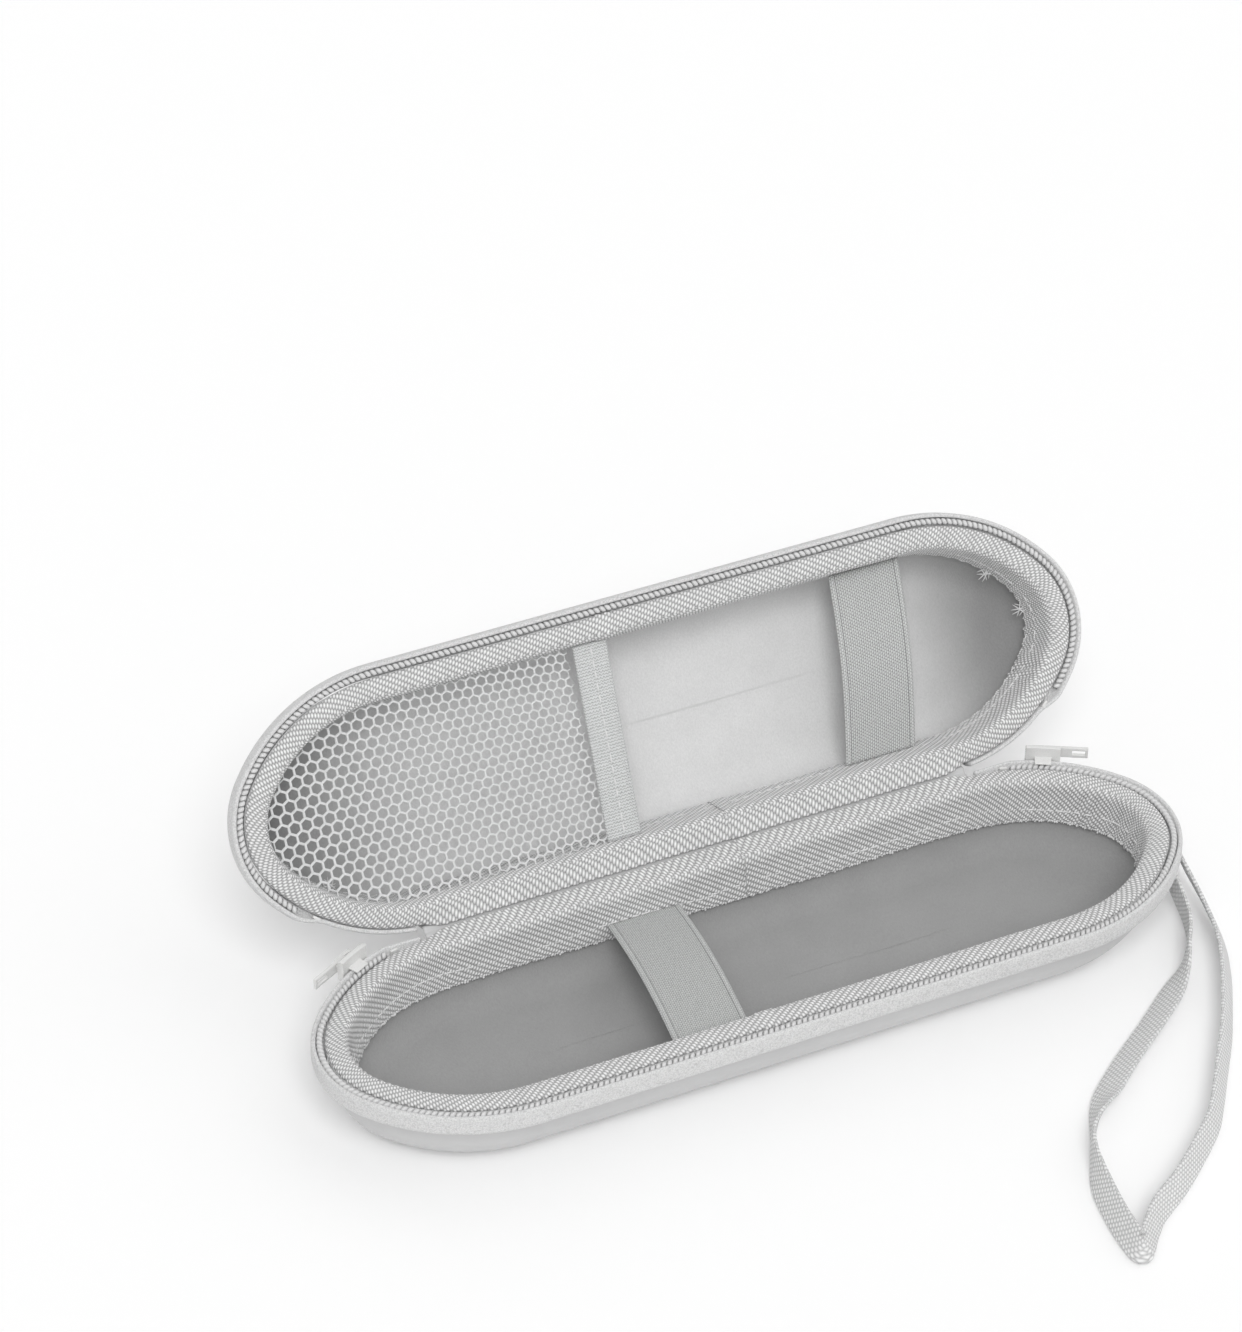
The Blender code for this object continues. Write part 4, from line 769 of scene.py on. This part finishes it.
def make_binding(half, seed):
    """A closed profile carried round the outline in two lengths that meet at seams. Its seen side is moved
    along its own normal, its lip reaches out along the spine, and its inner edge ends in the ribs."""
    profile, run, normal, seen = binding_profile()
    lip = np.clip((LIP_ROOT - profile[:, 0]) / (LIP_ROOT - 3.05 * MM), 0, 1)
    lip *= 0.3 + 0.7 * ease(profile[:, 1], 23.5 * MM, 24.1 * MM)
    lower = ease(-profile[:, 1], -14.5 * MM, -12.2 * MM)
    for part, first, last in (("right", 0.0, 0.5), ("left", 0.5, 1.0)):
        distance = BINDING_SEAM + np.linspace(first, last, BINDING_STATIONS) * LOOP_LENGTH
        along = distance[:, None] / MM
        q = np.abs(from_spine(distance))[:, None]
        lap = SEAM_LAP * (along - along[0] < 5)
        relief = (binding_relief(along, run[None, :-1], seed) + lap) * seen * MM
        spread = (1 - ease(q, 72 * MM, 79.5 * MM)) * lip
        inset = np.maximum(profile[:, 0] + normal[:, 0] * relief - LIP_REACH * spread, LIP_LIMIT)
        height = profile[:, 1] + normal[:, 1] * relief + LIP_RISE * spread
        height = np.minimum(height + lower * frayed_edge(along, seed), HALF_DEPTH - 0.1 * MM)
        points = in_half(sweep(distance, inset, height), half)
        binding = grid_surface(half + "_herringbone_binding_" + part, points, "binding", along[:, 0], run)
        finish_piece(binding, "case_" + half, "binding", half + "_binding")


# Zip

def tape_shift(distance, half):
    """How far the tape is set in: on the base to stay in front of the hinge, on the lid by the sliders."""
    angle = (np.abs(from_spine(distance)) - STRAIGHT_HALF) / SIDE_RADIUS
    if half == "lid":
        return LID_TAPE_SET_IN * (1 - ease(angle, LID_TAPE_TURN, LID_TAPE_OUT))
    _, y, _, ny = outline(distance)
    outer = y + ny * 0.95 * MM
    return np.where(ny > 0.2, np.maximum(0, (outer - (HINGE_Y - FIT_GAP)) / np.maximum(ny, 0.2)), 0)


TAPE_FACE = np.array([
    (0.30, 24.25), (0.05, 24.55), (-0.35, 24.6), (-0.70, 24.35), (-0.86, 23.6), (-0.90, 22.4), (-0.92, 21.2),
    (-0.88, 20.0), (-0.72, 19.1), (-0.35, 18.75), (0.2, 18.8)]) * MM
TAPE_BACK_HEIGHTS = np.array([18.85, 18.9, 20.5, 22.15]) * MM
TAPE_LEDGE = np.array([0.35, 22.2]) * MM
TAPE_STATIONS = 700
FRAYED_PLACES = np.array([141, 163, -104]) * MM
FRAYED_HEADINGS = np.radians([-65, -40, -12, 10, 38, 60])
YARN_LENGTH = 4.2 * MM


def make_tape(half):
    """The tape's bulged outer face, with its underside and inner ledge down to the cover."""
    start = STRAIGHT_HALF + TAPE_START * SIDE_RADIUS
    distance = np.linspace(start, LOOP_LENGTH - start, TAPE_STATIONS)
    face = smooth_line(TAPE_FACE, 34)
    back = np.stack([wall_inset(TAPE_BACK_HEIGHTS, 0) - FIT_GAP, TAPE_BACK_HEIGHTS], 1)
    profile = np.concatenate([face, back, [TAPE_LEDGE]])
    moves = np.concatenate([np.ones(len(face)), np.zeros(len(back)), [1]])
    inset = profile[:, 0] + tape_shift(distance, half)[:, None] * moves
    run = line_lengths(np.concatenate([profile, profile[:1]]))
    points = in_half(sweep(distance, inset, profile[:, 1]), half)
    tape = grid_surface(half + "_knitted_tape", points, "tape", distance / MM, run)
    finish_piece(tape, "case_" + half, "tape", half + "_zip_tape")


def scatter(name, half, template, origins, axes, material_name):
    """Copies of one small form in a half: origin + template . axes, for every copy at once."""
    points, faces = template
    copies = in_half(origins, half)[:, None] + np.einsum("pk,nkc->npc", points, in_half_axes(axes, half))
    quads = np.concatenate([faces + k * len(points) for k in range(len(origins))])
    return outward_quads(name, copies.reshape(-1, 3), quads, material_name)


def ball_template(size, rows, columns, squareness=1.0):
    """A closed rounded form: a sphere whose sines are raised to a power below 1 to square it up. Its two ends
    are small flat faces, each a fan of quads."""
    polar = np.linspace(0.25, math.pi - 0.25, rows)
    turn = np.linspace(0, 2 * math.pi, columns, endpoint=False)
    polar, turn = np.meshgrid(polar, turn, indexing="ij")

    def power(value):
        return np.sign(value) * np.abs(value) ** squareness
    points = np.stack([power(np.cos(polar)), power(np.sin(polar)) * power(np.cos(turn)),
                       power(np.sin(polar)) * power(np.sin(turn))], 2).reshape(-1, 3) * np.array(size) / 2
    i, j = tube_quads(rows, columns)
    k = np.arange(0, columns - 2, 2)
    fan = np.stack([0 * k, k + 1, k + 2, k + 3], 1)
    return points, np.concatenate([i * columns + j % columns, fan, fan[:, ::-1] + (rows - 1) * columns])


def at_inset(distance, inset, height):
    """One point for each distance along the outline, at an inset inside it and at a height."""
    x, y, nx, ny = outline(distance)
    return np.stack(np.broadcast_arrays(x - nx * inset, y - ny * inset, height), 1)


def outline_axes(distance):
    """Directions along the outline, outwards and up at each distance."""
    _, _, nx, ny = outline(distance)
    zero = np.zeros_like(nx)
    return np.stack([ny, -nx, zero, nx, ny, zero, zero, zero, zero + 1], 1).reshape(-1, 3, 3)


def in_half_axes(axes, half):
    if half == "base":
        return axes
    c, s = math.cos(LID_ANGLE), math.sin(LID_ANGLE)
    y, z = axes[..., 1], -axes[..., 2]
    return np.stack([axes[..., 0], y * c - z * s, y * s + z * c], -1)


def make_teeth(half, start_angle):
    """A row of moulded teeth on a woven cord, between the tape and the binding."""
    start = STRAIGHT_HALF + start_angle * SIDE_RADIUS
    length = LOOP_LENGTH - 2 * start
    count = int(length / TOOTH_PITCH)
    distance = start + (np.arange(count) + 0.5) * length / count
    axes = outline_axes(distance)
    axes[:, 1] += TOOTH_LEAN * axes[:, 0]
    teeth = scatter(half + "_zip_teeth", half, ball_template(TOOTH_SIZE, 7, 8, 0.75),
                    at_inset(distance, TOOTH_INSET, 23.55 * MM), axes, "coil")
    finish_piece(teeth, "case_" + half, "coil", half + "_zip_coil")
    stations = np.linspace(start, LOOP_LENGTH - start, 420)
    turn = np.linspace(0, 2 * math.pi, 10, endpoint=False)
    inset = TOOTH_INSET + 0.72 * MM * np.cos(turn)
    points = in_half(sweep(stations, inset, 23.05 * MM + 0.5 * MM * np.sin(turn)), half)
    cord = grid_surface(half + "_coil_cord", points, "coil_cord", stations / MM, np.linspace(0, 4, 11))
    finish_piece(cord, "case_" + half, "coil")


def make_fringe(half, seed):
    """Ends of the yarns along the binding's inner edge: small beads, each a little out of line."""
    distance = np.arange(0, LOOP_LENGTH, 0.74 * MM)
    along = distance / MM
    inset = (10.15 + 0.15 * np.sin(7.3 * along)) * MM
    height = 12.15 * MM + frayed_edge(along, seed) + 0.12 * MM * np.sin(4.1 * along)
    fringe = scatter(half + "_binding_fringe", half, ball_template((0.62 * MM, 0.62 * MM, 0.85 * MM), 4, 6),
                     at_inset(distance, inset, height), outline_axes(distance), "thread")
    finish_piece(fringe, "case_" + half, "binding")


def make_tufts(half):
    """Loose yarns at worn places of the inner edge: bent rounded forms that fan out over the lining.
    The middle of each is raised by a parabola of its length."""
    points, faces = ball_template((YARN_LENGTH, 0.36 * MM, 0.36 * MM), 8, 6)
    points[:, 2] += 0.6 * MM * (1 - (2 * points[:, 0] / YARN_LENGTH) ** 2)
    place_at, heading = (v.ravel() for v in np.meshgrid(FRAYED_PLACES, FRAYED_HEADINGS, indexing="ij"))
    axes = outline_axes(place_at)
    along, out, up = axes[:, 0], axes[:, 1], axes[:, 2]
    c, s = np.cos(heading)[:, None], np.sin(heading)[:, None]
    turned = np.stack([-out * c + along * s - 0.35 * up, along * c + out * s, up], 1)
    origins = at_inset(place_at + 0.9 * MM * np.sin(3 * heading), 10.7 * MM + 0.8 * MM * np.cos(5 * heading),
                       12.3 * MM + 0.3 * MM * np.sin(9 * heading))
    tufts = scatter(half + "_frayed_yarns", half, (points, faces), origins, turned, "thread")
    finish_piece(tufts, "case_" + half, "binding")


def stitch_line(name, half, start, end, up, step, size, slot):
    """A straight row of stitches from one point of the half's frame to another."""
    start, end, up = (np.asarray(v, float) for v in (start, end, up))
    length = np.linalg.norm(end - start)
    along = (end - start) / length
    count = int(length / step)
    share = (np.arange(count) + 0.5) / count
    axes = np.broadcast_to(np.stack([along, np.cross(up, along), up]), (count, 3, 3))
    origins = start + share[:, None] * (end - start)
    row = scatter(name, half, ball_template(size, 5, 6), origins, axes, "thread")
    finish_piece(row, "case_" + half, slot)


def make_binding_stitches(half):
    """A slightly wavy row of stitches along the binding, each half sunk in the cloth."""
    distance = np.arange(0, LOOP_LENGTH, 3.1 * MM)
    height = 16.4 * MM + 0.5 * MM * np.sin(distance / (9 * MM))
    origins = at_inset(distance, wall_inset(height, BINDING_FACE) - 0.02 * MM, height)
    template = ball_template((2.6 * MM, 0.55 * MM, 0.55 * MM), 5, 6)
    stitches = scatter(half + "_binding_stitches", half, template, origins, outline_axes(distance), "thread")
    finish_piece(stitches, "case_" + half, "binding")


def make_zip():
    for half, start in (("base", BASE_COIL_START), ("lid", LID_COIL_START)):
        make_tape(half)
        make_teeth(half, start)
        make_binding(half, BINDING_SEEDS[half])
        make_binding_stitches(half)
        make_fringe(half, BINDING_SEEDS[half])
    make_tufts("lid")


# Cross bands

def make_band(name, half, width, thickness, back_x, front_x, heights, material_name, edge, node):
    """A flat woven band from the back wall to the front wall. Its section is a flat loop with a raised
    selvedge at each side, and it is carried along a line whose height follows given points."""
    rows = 60
    heights = np.array(heights) * MM
    reach = CASE_WIDTH / 2 - wall_inset(heights[0], BINDING_FACE) - FIT_GAP
    t = np.linspace(0, 1, rows)
    z = smooth_line(np.stack([np.linspace(0, 1, len(heights)), heights], 1), rows)[:, 1]
    x = back_x + (front_x - back_x) * t
    y = reach - 2 * reach * t
    across = np.linspace(-1, 1, 41)
    from_edge = (1 - np.abs(across)) * width / 2
    groove = np.exp(-((from_edge - edge) / (0.28 * MM)) ** 2)
    rounding = np.sqrt(np.clip(from_edge / (0.6 * MM), 0.05, 1))
    selvedge = 1 + 0.25 * (1 - ease(from_edge, edge - 0.3 * MM, edge + 0.2 * MM))
    lift = thickness / 2 * rounding * (0.8 * selvedge - 0.45 * groove)
    section_x = np.concatenate([across, across[::-1]]) * width / 2
    section_z = np.concatenate([lift, -lift[::-1]])
    points = np.stack(np.broadcast_arrays(x[:, None] + section_x, y[:, None], z[:, None] + section_z), 2)
    u = line_lengths(np.stack([x, y, z], 1))
    v = line_lengths(np.stack([section_x, section_z], 1))
    v = np.append(v, v[-1])
    band = grid_surface(name, in_half(points, half), material_name, u, v)
    finish_piece(band, "case_" + half, "elastic", node)
    return reach


def make_bands():
    make_band("base_elastic_band", "base", 20.5 * MM, 1.2 * MM, -20.5 * MM, -23.5 * MM,
              [16.5, 18.2, 19.2, 19.2, 18.2, 16.5], "base_elastic", 1.7 * MM, "base_elastic_strap")
    make_band("lid_elastic_band", "lid", 20.5 * MM, 1.2 * MM, 58.3 * MM, 65.5 * MM,
              [16.5, 18.3, 19.4, 19.4, 18.3, 16.5], "lid_elastic", 1.7 * MM, "lid_elastic_strap")
    back_x, front_x, top = -18.5 * MM, -15.7 * MM, 21.62 * MM
    reach = make_band("pocket_mouth_band", "lid", 9.5 * MM, 1.3 * MM, back_x, front_x, [21, 21, 21, 21],
                      "band", 0.9 * MM, "pocket_band")
    stitch_line("pocket_band_stitches", "lid", (back_x, reach - MM, top), (front_x, MM - reach, top),
                (0, 0, 1), 3.1 * MM, (2.3 * MM, 0.55 * MM, 0.45 * MM), "elastic")


# Net pocket

NET_PITCH = 2.75 * MM
NET_STRAND = 0.62 * MM
NET_LENGTH = 97 * MM
NET_NEAR_SHARE = 0.88
NET_FAR_SHARE = 1.24
NET_SAG = 2.6 * MM
NET_MOUTH_X = -18 * MM
NET_HEIGHT = 20.6 * MM
NET_FACES = (0.12 * MM, 0.28 * MM)
NET_CENTRE = np.array([-55 * MM, 0])
NET_PULL = 30 * MM


def net_height(x, y):
    """The net hangs back from the seam towards the lining in its middle: a product of two soft humps."""
    along = np.clip((x + 118 * MM) / (95 * MM), 0, 1)
    across = np.clip(1 - (y / (26 * MM)) ** 2, 0, 1)
    return NET_HEIGHT - NET_SAG * np.sin(math.pi * along) ** 0.8 * across


def inside_distance(points, border):
    """How far each point lies inside a closed convex border: the least distance to its edge lines."""
    following = np.roll(border, -1, 0)
    run = following - border
    run /= np.linalg.norm(run, axis=1)[:, None]
    offset = points[:, None] - border[None]
    return np.min(run[None, :, 0] * offset[..., 1] - run[None, :, 1] * offset[..., 0], 1)


def stretch_net(flat):
    """The net is pulled wider towards the pocket's round end: the share by which it stretches grows evenly
    with the distance from the band, from its near to its far value."""
    run = NET_MOUTH_X - flat[..., 0]
    growth = (NET_FAR_SHARE - NET_NEAR_SHARE) / NET_LENGTH
    x = NET_MOUTH_X - (NET_NEAR_SHARE * run + growth * run ** 2 / 2)
    return np.stack([x, flat[..., 1] * (NET_NEAR_SHARE + growth * np.clip(run, 0, None))], -1)


def make_net():
    """Six-sided cells in rows: each cell is a frame of six quads between its border and its gap, on both
    faces and inside the gap. Sides that no other cell shares are closed, and corners outside the pocket are
    drawn in to its edge."""
    edge_inset = wall_inset(NET_HEIGHT, BINDING_FACE) - 0.5 * MM
    border = at_inset(np.linspace(LOOP_LENGTH / 2, LOOP_LENGTH, 200), edge_inset, 0.0)[:, :2]
    border = border[border[:, 0] < -21 * MM]
    if inside_distance(np.array([[-60 * MM, 0]]), border)[0] < 0:
        border = border[::-1]
    i, j = np.meshgrid(np.arange(-46, 1), np.arange(-14, 15), indexing="ij")
    row = NET_PITCH * math.sqrt(3) / 2
    centres = np.stack([(i + 0.5 * (j % 2)) * NET_PITCH + NET_MOUTH_X, j * row], 2).reshape(-1, 2)
    kept = centres[inside_distance(stretch_net(centres), border) > 0.2 * MM]
    corner_turn = math.pi / 6 + np.arange(6) * math.pi / 3
    directions = np.stack([np.cos(corner_turn), np.sin(corner_turn)], 1)
    outer, inner = (stretch_net(kept[:, None] + directions * across / math.sqrt(3))
                    for across in (NET_PITCH, NET_PITCH - NET_STRAND))

    def lift(flat, offset):
        return np.concatenate([flat, (net_height(flat[..., 0], flat[..., 1]) + offset)[..., None]], -1)
    middle = (outer + inner) / 2
    edge, face = NET_FACES
    flat = np.stack([lift(outer, edge), lift(middle, face), lift(inner, 0.0), lift(middle, -face),
                     lift(outer, -edge)], 1).reshape(-1, 3)
    pull = np.clip(-inside_distance(flat[:, :2], border) / NET_PULL, 0, 1)[:, None]
    flat[:, :2] += (NET_CENTRE - flat[:, :2]) * pull
    level, k = (v.ravel() for v in np.meshgrid(np.arange(4), np.arange(6), indexing="ij"))
    following = (k + 1) % 6
    quads = level[:, None] * 6 + np.stack([k, following, following + 6, k + 6], 1)
    quads = (quads[None] + (np.arange(len(kept)) * 30)[:, None, None]).reshape(-1, 4)
    sides = np.round((outer + np.roll(outer, -1, 1)).reshape(-1, 2) / (0.02 * MM)).astype(int)
    _, same, uses = np.unique(sides, axis=0, return_inverse=True, return_counts=True)
    cell, k = np.divmod(np.nonzero(uses[same.ravel()] == 1)[0], 6)
    following = (k + 1) % 6
    rim = np.stack([24 + k, 24 + following, following, k], 1) + (cell * 30)[:, None]
    net = outward_quads("hexagon_net", to_lid(flat), np.concatenate([quads, rim]), "net")
    finish_piece(net, "case_lid", "net", "pocket_net")


# Spine

SPINE_FOLD = 1.87 * MM


def make_spine():
    """The leatherette strip that folds in the fold between the halves, with rounded edges."""
    def opened(y, z):
        c, s = math.cos(LID_ANGLE), math.sin(LID_ANGLE)
        return y * c - z * s, y * s + z * c
    lift = FIT_GAP + 0.5 * MM
    hem = 10.5 * MM
    base_hem_y = 1.1 * MM - wall_inset(HALF_DEPTH - hem, 0) + lift
    base_top_y = 1.1 * MM - COVER_SET_IN + lift
    lid_hem = opened(base_hem_y, hem)
    fold = math.radians(-90) + (math.pi + LID_ANGLE) / 2
    line = smooth_line(np.array([
        (base_hem_y, -hem), (base_hem_y * 0.6 + base_top_y * 0.4, -hem * 0.6), (base_top_y, -3.4 * MM),
        (base_top_y + 0.15 * MM, -1.9 * MM), (SPINE_FOLD * math.cos(fold), SPINE_FOLD * math.sin(fold)),
        opened(base_top_y + 0.15 * MM, 1.9 * MM), opened(base_top_y, 3.4 * MM), lid_hem]), 70)
    tangent = np.gradient(line, axis=0)
    tangent /= np.linalg.norm(tangent, axis=1)[:, None]
    normal = np.stack([-tangent[:, 1], tangent[:, 0]], 1)
    thick = 0.5 * MM
    section = np.concatenate([line + normal * thick, (line - normal * thick)[::-1]])
    ends = np.linspace(76.5, 78, 6)
    x = np.concatenate([-ends[::-1], np.linspace(-75.5, 75.5, 60), ends]) * MM
    middle = np.concatenate([line, line[::-1]])
    past = ((np.abs(x) - 77.4 * MM) / (0.6 * MM)).clip(0, 1)
    round_off = np.sqrt(np.clip(1 - past ** 2, 0.02, 1))
    yz = middle + (section - middle) * round_off[:, None, None]
    points = np.concatenate([np.broadcast_to(x[:, None, None], yz.shape[:2] + (1,)),
                             yz + np.array([HINGE_Y, HALF_DEPTH])], 2)
    run = line_lengths(np.concatenate([section, section[:1]]))
    spine = grid_surface("spine_strip", points, "leatherette", x / MM, run)
    seam = 1.3 * MM
    seam_y = base_hem_y + (base_top_y - base_hem_y) * seam / hem + thick
    for half in ("base", "lid"):
        places = [(end * 76 * MM, HINGE_Y + seam_y, HALF_DEPTH - hem + seam) for end in (-1, 1)]
        stitch_line(half + "_spine_stitches", half, *places, (0, 1, 0), 3.0 * MM,
                    (2.2 * MM, 0.5 * MM, 0.4 * MM), "leatherette")
    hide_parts("spine_cover")
    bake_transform(spine)


# Wrist strap

WEBBING_WIDTH = 8.0 * MM
WEBBING_THICKNESS = 1.2 * MM
BAR_PLACE = np.array([108.098, 28.391]) * MM
BAR_HEIGHT = 13.3 * MM
SEWN_REACH = 12.3 * MM
SEWN_HEADING = math.radians(-50)
INNER_LEAN, TIP_LEAN, OUTER_LEAN = np.radians([60, 27, 22])
INNER_ROUTE = np.array([
    (119.04, 1.44), (117.6, -9.6), (114.96, -23.52), (108.48, -34.0), (100.0, -42.5), (88.5, -51.5),
    (76.0, -60.5), (64.5, -70.0), (56.0, -79.5), (51.0, -88.0), (48.0, -97.0), (46.3, -108.0),
    (45.9, -115.5)]) * MM
TIP_BEND = np.array([(46.2, -119.9), (47.4, -120.7), (48.8, -119.2)]) * MM
OUTER_ROUTE = np.array([
    (56.0, -111.5), (66.0, -105.0), (75.5, -97.5), (84.0, -90.0), (89.5, -83.0), (96.5, -73.0),
    (103.5, -63.0), (109.5, -53.0), (115.5, -42.0), (120.0, -31.0), (122.4, -18.96), (123.12, -7.2),
    (122.88, 1.44)]) * MM


def strap_height(run):
    """Height of the webbing's middle along a strand, in metres: an eased step from the hook to the table."""
    return BAR_HEIGHT + (WEBBING_WIDTH / 2 + FIT_GAP - BAR_HEIGHT) * ease(run, 0, 48)


def ribbon(name, line, lean, width, thickness, material_name):
    """Webbing carried along a line in space: its section is a rounded flat loop whose width axis starts
    upright and leans sideways by an angle."""
    tangent = np.gradient(line, axis=0)
    tangent /= np.linalg.norm(tangent, axis=1)[:, None]
    side = np.stack([-tangent[:, 1], tangent[:, 0], np.zeros(len(line))], 1)
    side /= np.linalg.norm(side, axis=1)[:, None]
    up = np.cross(side, -tangent)
    wide = up * np.cos(lean)[:, None] + side * np.sin(lean)[:, None]
    thin = side * np.cos(lean)[:, None] - up * np.sin(lean)[:, None]
    turn = np.linspace(0, 2 * math.pi, 36, endpoint=False)
    w = np.sign(np.cos(turn)) * np.abs(np.cos(turn)) ** 0.55 * width / 2
    h = np.sign(np.sin(turn)) * np.abs(np.sin(turn)) ** 0.35 * thickness / 2
    points = line[:, None] + wide[:, None] * w[None, :, None] + thin[:, None] * h[None, :, None]
    u = line_lengths(line)
    v = line_lengths(np.stack([np.append(w, w[0]), np.append(h, h[0])], 1))
    return grid_surface(name, points, material_name, u, v)


def make_wrist_strap():
    run = np.array([math.cos(SEWN_HEADING), math.sin(SEWN_HEADING)])
    across = np.array([-run[1], run[0]])
    inner_start = BAR_PLACE + run * SEWN_REACH - across * 0.75 * MM
    outer_start = BAR_PLACE + run * SEWN_REACH + across * 0.75 * MM
    route = np.concatenate([[inner_start], INNER_ROUTE, TIP_BEND, OUTER_ROUTE, [outer_start]])
    route = smooth_line(route, 420)
    run = line_lengths(route)
    lean = INNER_LEAN * (ease(run, 50, 72) - ease(run, 108, 130)) + TIP_LEAN * ease(run, 130, 148)
    lean += (OUTER_LEAN - TIP_LEAN) * ease(run, 160, 200) - OUTER_LEAN * ease(run, run[-1] - 30, run[-1])
    drop = WEBBING_WIDTH / 2 * (1 - np.cos(lean)) - WEBBING_THICKNESS / 2 * np.sin(lean)
    height = strap_height(np.minimum(run, run[-1] - run)) - drop
    line = np.concatenate([route, height[:, None]], 1)
    strap = ribbon("webbing_loop", line, lean, WEBBING_WIDTH, WEBBING_THICKNESS, "webbing")
    finish_piece(strap, "strap_loop", "webbing", "wrist_strap")


# Small pieces: for each node its copy's name, material, slot and width of the rounding in millimetres
HARDWARE = {
    "strap_anchor_tab": ("sewn_anchor_tab", "sewn_webbing", "webbing", 0.30),
    "strap_sewn_end": ("sewn_strap_end", "sewn_webbing", "webbing", 0.30),
    "strap_ring": ("plated_ring", "metal", "metal", 0.22),
    "snap_hook": ("cast_hook", "metal", "metal", 0.25),
    "hook_gate": ("sprung_gate", "metal", "metal", 0.15),
    "gate_pin": ("riveted_pin", "metal", "metal", 0.10),
}
for form, copied, width in (
        ("zip_slider_", "enamelled_slider_", 0.25), ("zip_pull_", "enamelled_pull_", 0.30),
        ("base_zip_stop_", "base_stop_", 0.20), ("lid_zip_stop_", "lid_stop_", 0.20)):
    for side in ("right", "left"):
        HARDWARE[form + side] = (copied + side, "enamel", "enamel", width)
WELD_DISTANCE = 0.001 * MM
FLAT_ANGLE = math.radians(1)
ROUND_ANGLE = math.radians(28)


def rounded_copy(node, name, finish, width):
    """A node's solid as one closed mesh: its triangles are joined to flat faces, its corners are rounded."""
    work = bmesh.new()
    work.from_mesh(frame["nodes"][node].data)
    bmesh.ops.remove_doubles(work, verts=work.verts, dist=WELD_DISTANCE)
    bmesh.ops.dissolve_limit(work, angle_limit=FLAT_ANGLE, verts=work.verts, edges=work.edges)
    bmesh.ops.recalc_face_normals(work, faces=work.faces)
    mesh = bpy.data.meshes.new(name)
    work.to_mesh(mesh)
    work.free()
    mesh.materials.clear()
    mesh.materials.append(MATERIALS[finish])
    mesh.polygons.foreach_set("use_smooth", np.full(len(mesh.polygons), True))
    mesh.polygons.foreach_set("material_index", np.zeros(len(mesh.polygons), np.int32))
    item = bpy.data.objects.new(name, mesh)
    bpy.context.collection.objects.link(item)
    rounding = item.modifiers.new("rounding", "BEVEL")
    rounding.width = width * MM
    rounding.segments = 3
    rounding.limit_method = "ANGLE"
    rounding.angle_limit = ROUND_ANGLE
    rounding.harden_normals = True
    return item


def make_hardware():
    """Metal, enamelled and sewn small pieces: each is a rounded copy of its solid."""
    bodies = frame["record"]["behaviour"]["bodies"]
    for node, (name, finish, slot, width) in HARDWARE.items():
        item = rounded_copy(node, name, finish, width)
        body = next(body for body, names in bodies.items() if node in names)
        finish_piece(item, body, slot, node)


def make_floor():
    """A large round plain floor: rings of points about the case, and one face in the middle."""
    radius = np.array([0.02, 0.5, 2.0, 8.0])
    turn = np.linspace(0, 2 * math.pi, 48, endpoint=False)
    x, y = radius[:, None] * np.cos(turn), radius[:, None] * np.sin(turn)
    points = np.stack(np.broadcast_arrays(x, y, -0.2 * MM), 2)
    i, j = tube_quads(4, 48)
    faces = (i * 48 + j % 48).tolist() + [list(range(48))]
    floor = write_mesh("floor", points.reshape(-1, 3), faces, np.zeros((i.size + 48, 2)), "floor")


make_camera()
make_lights()
make_floor()
make_walls()
make_zip()
make_bands()
make_net()
make_spine()
make_wrist_strap()
make_hardware()
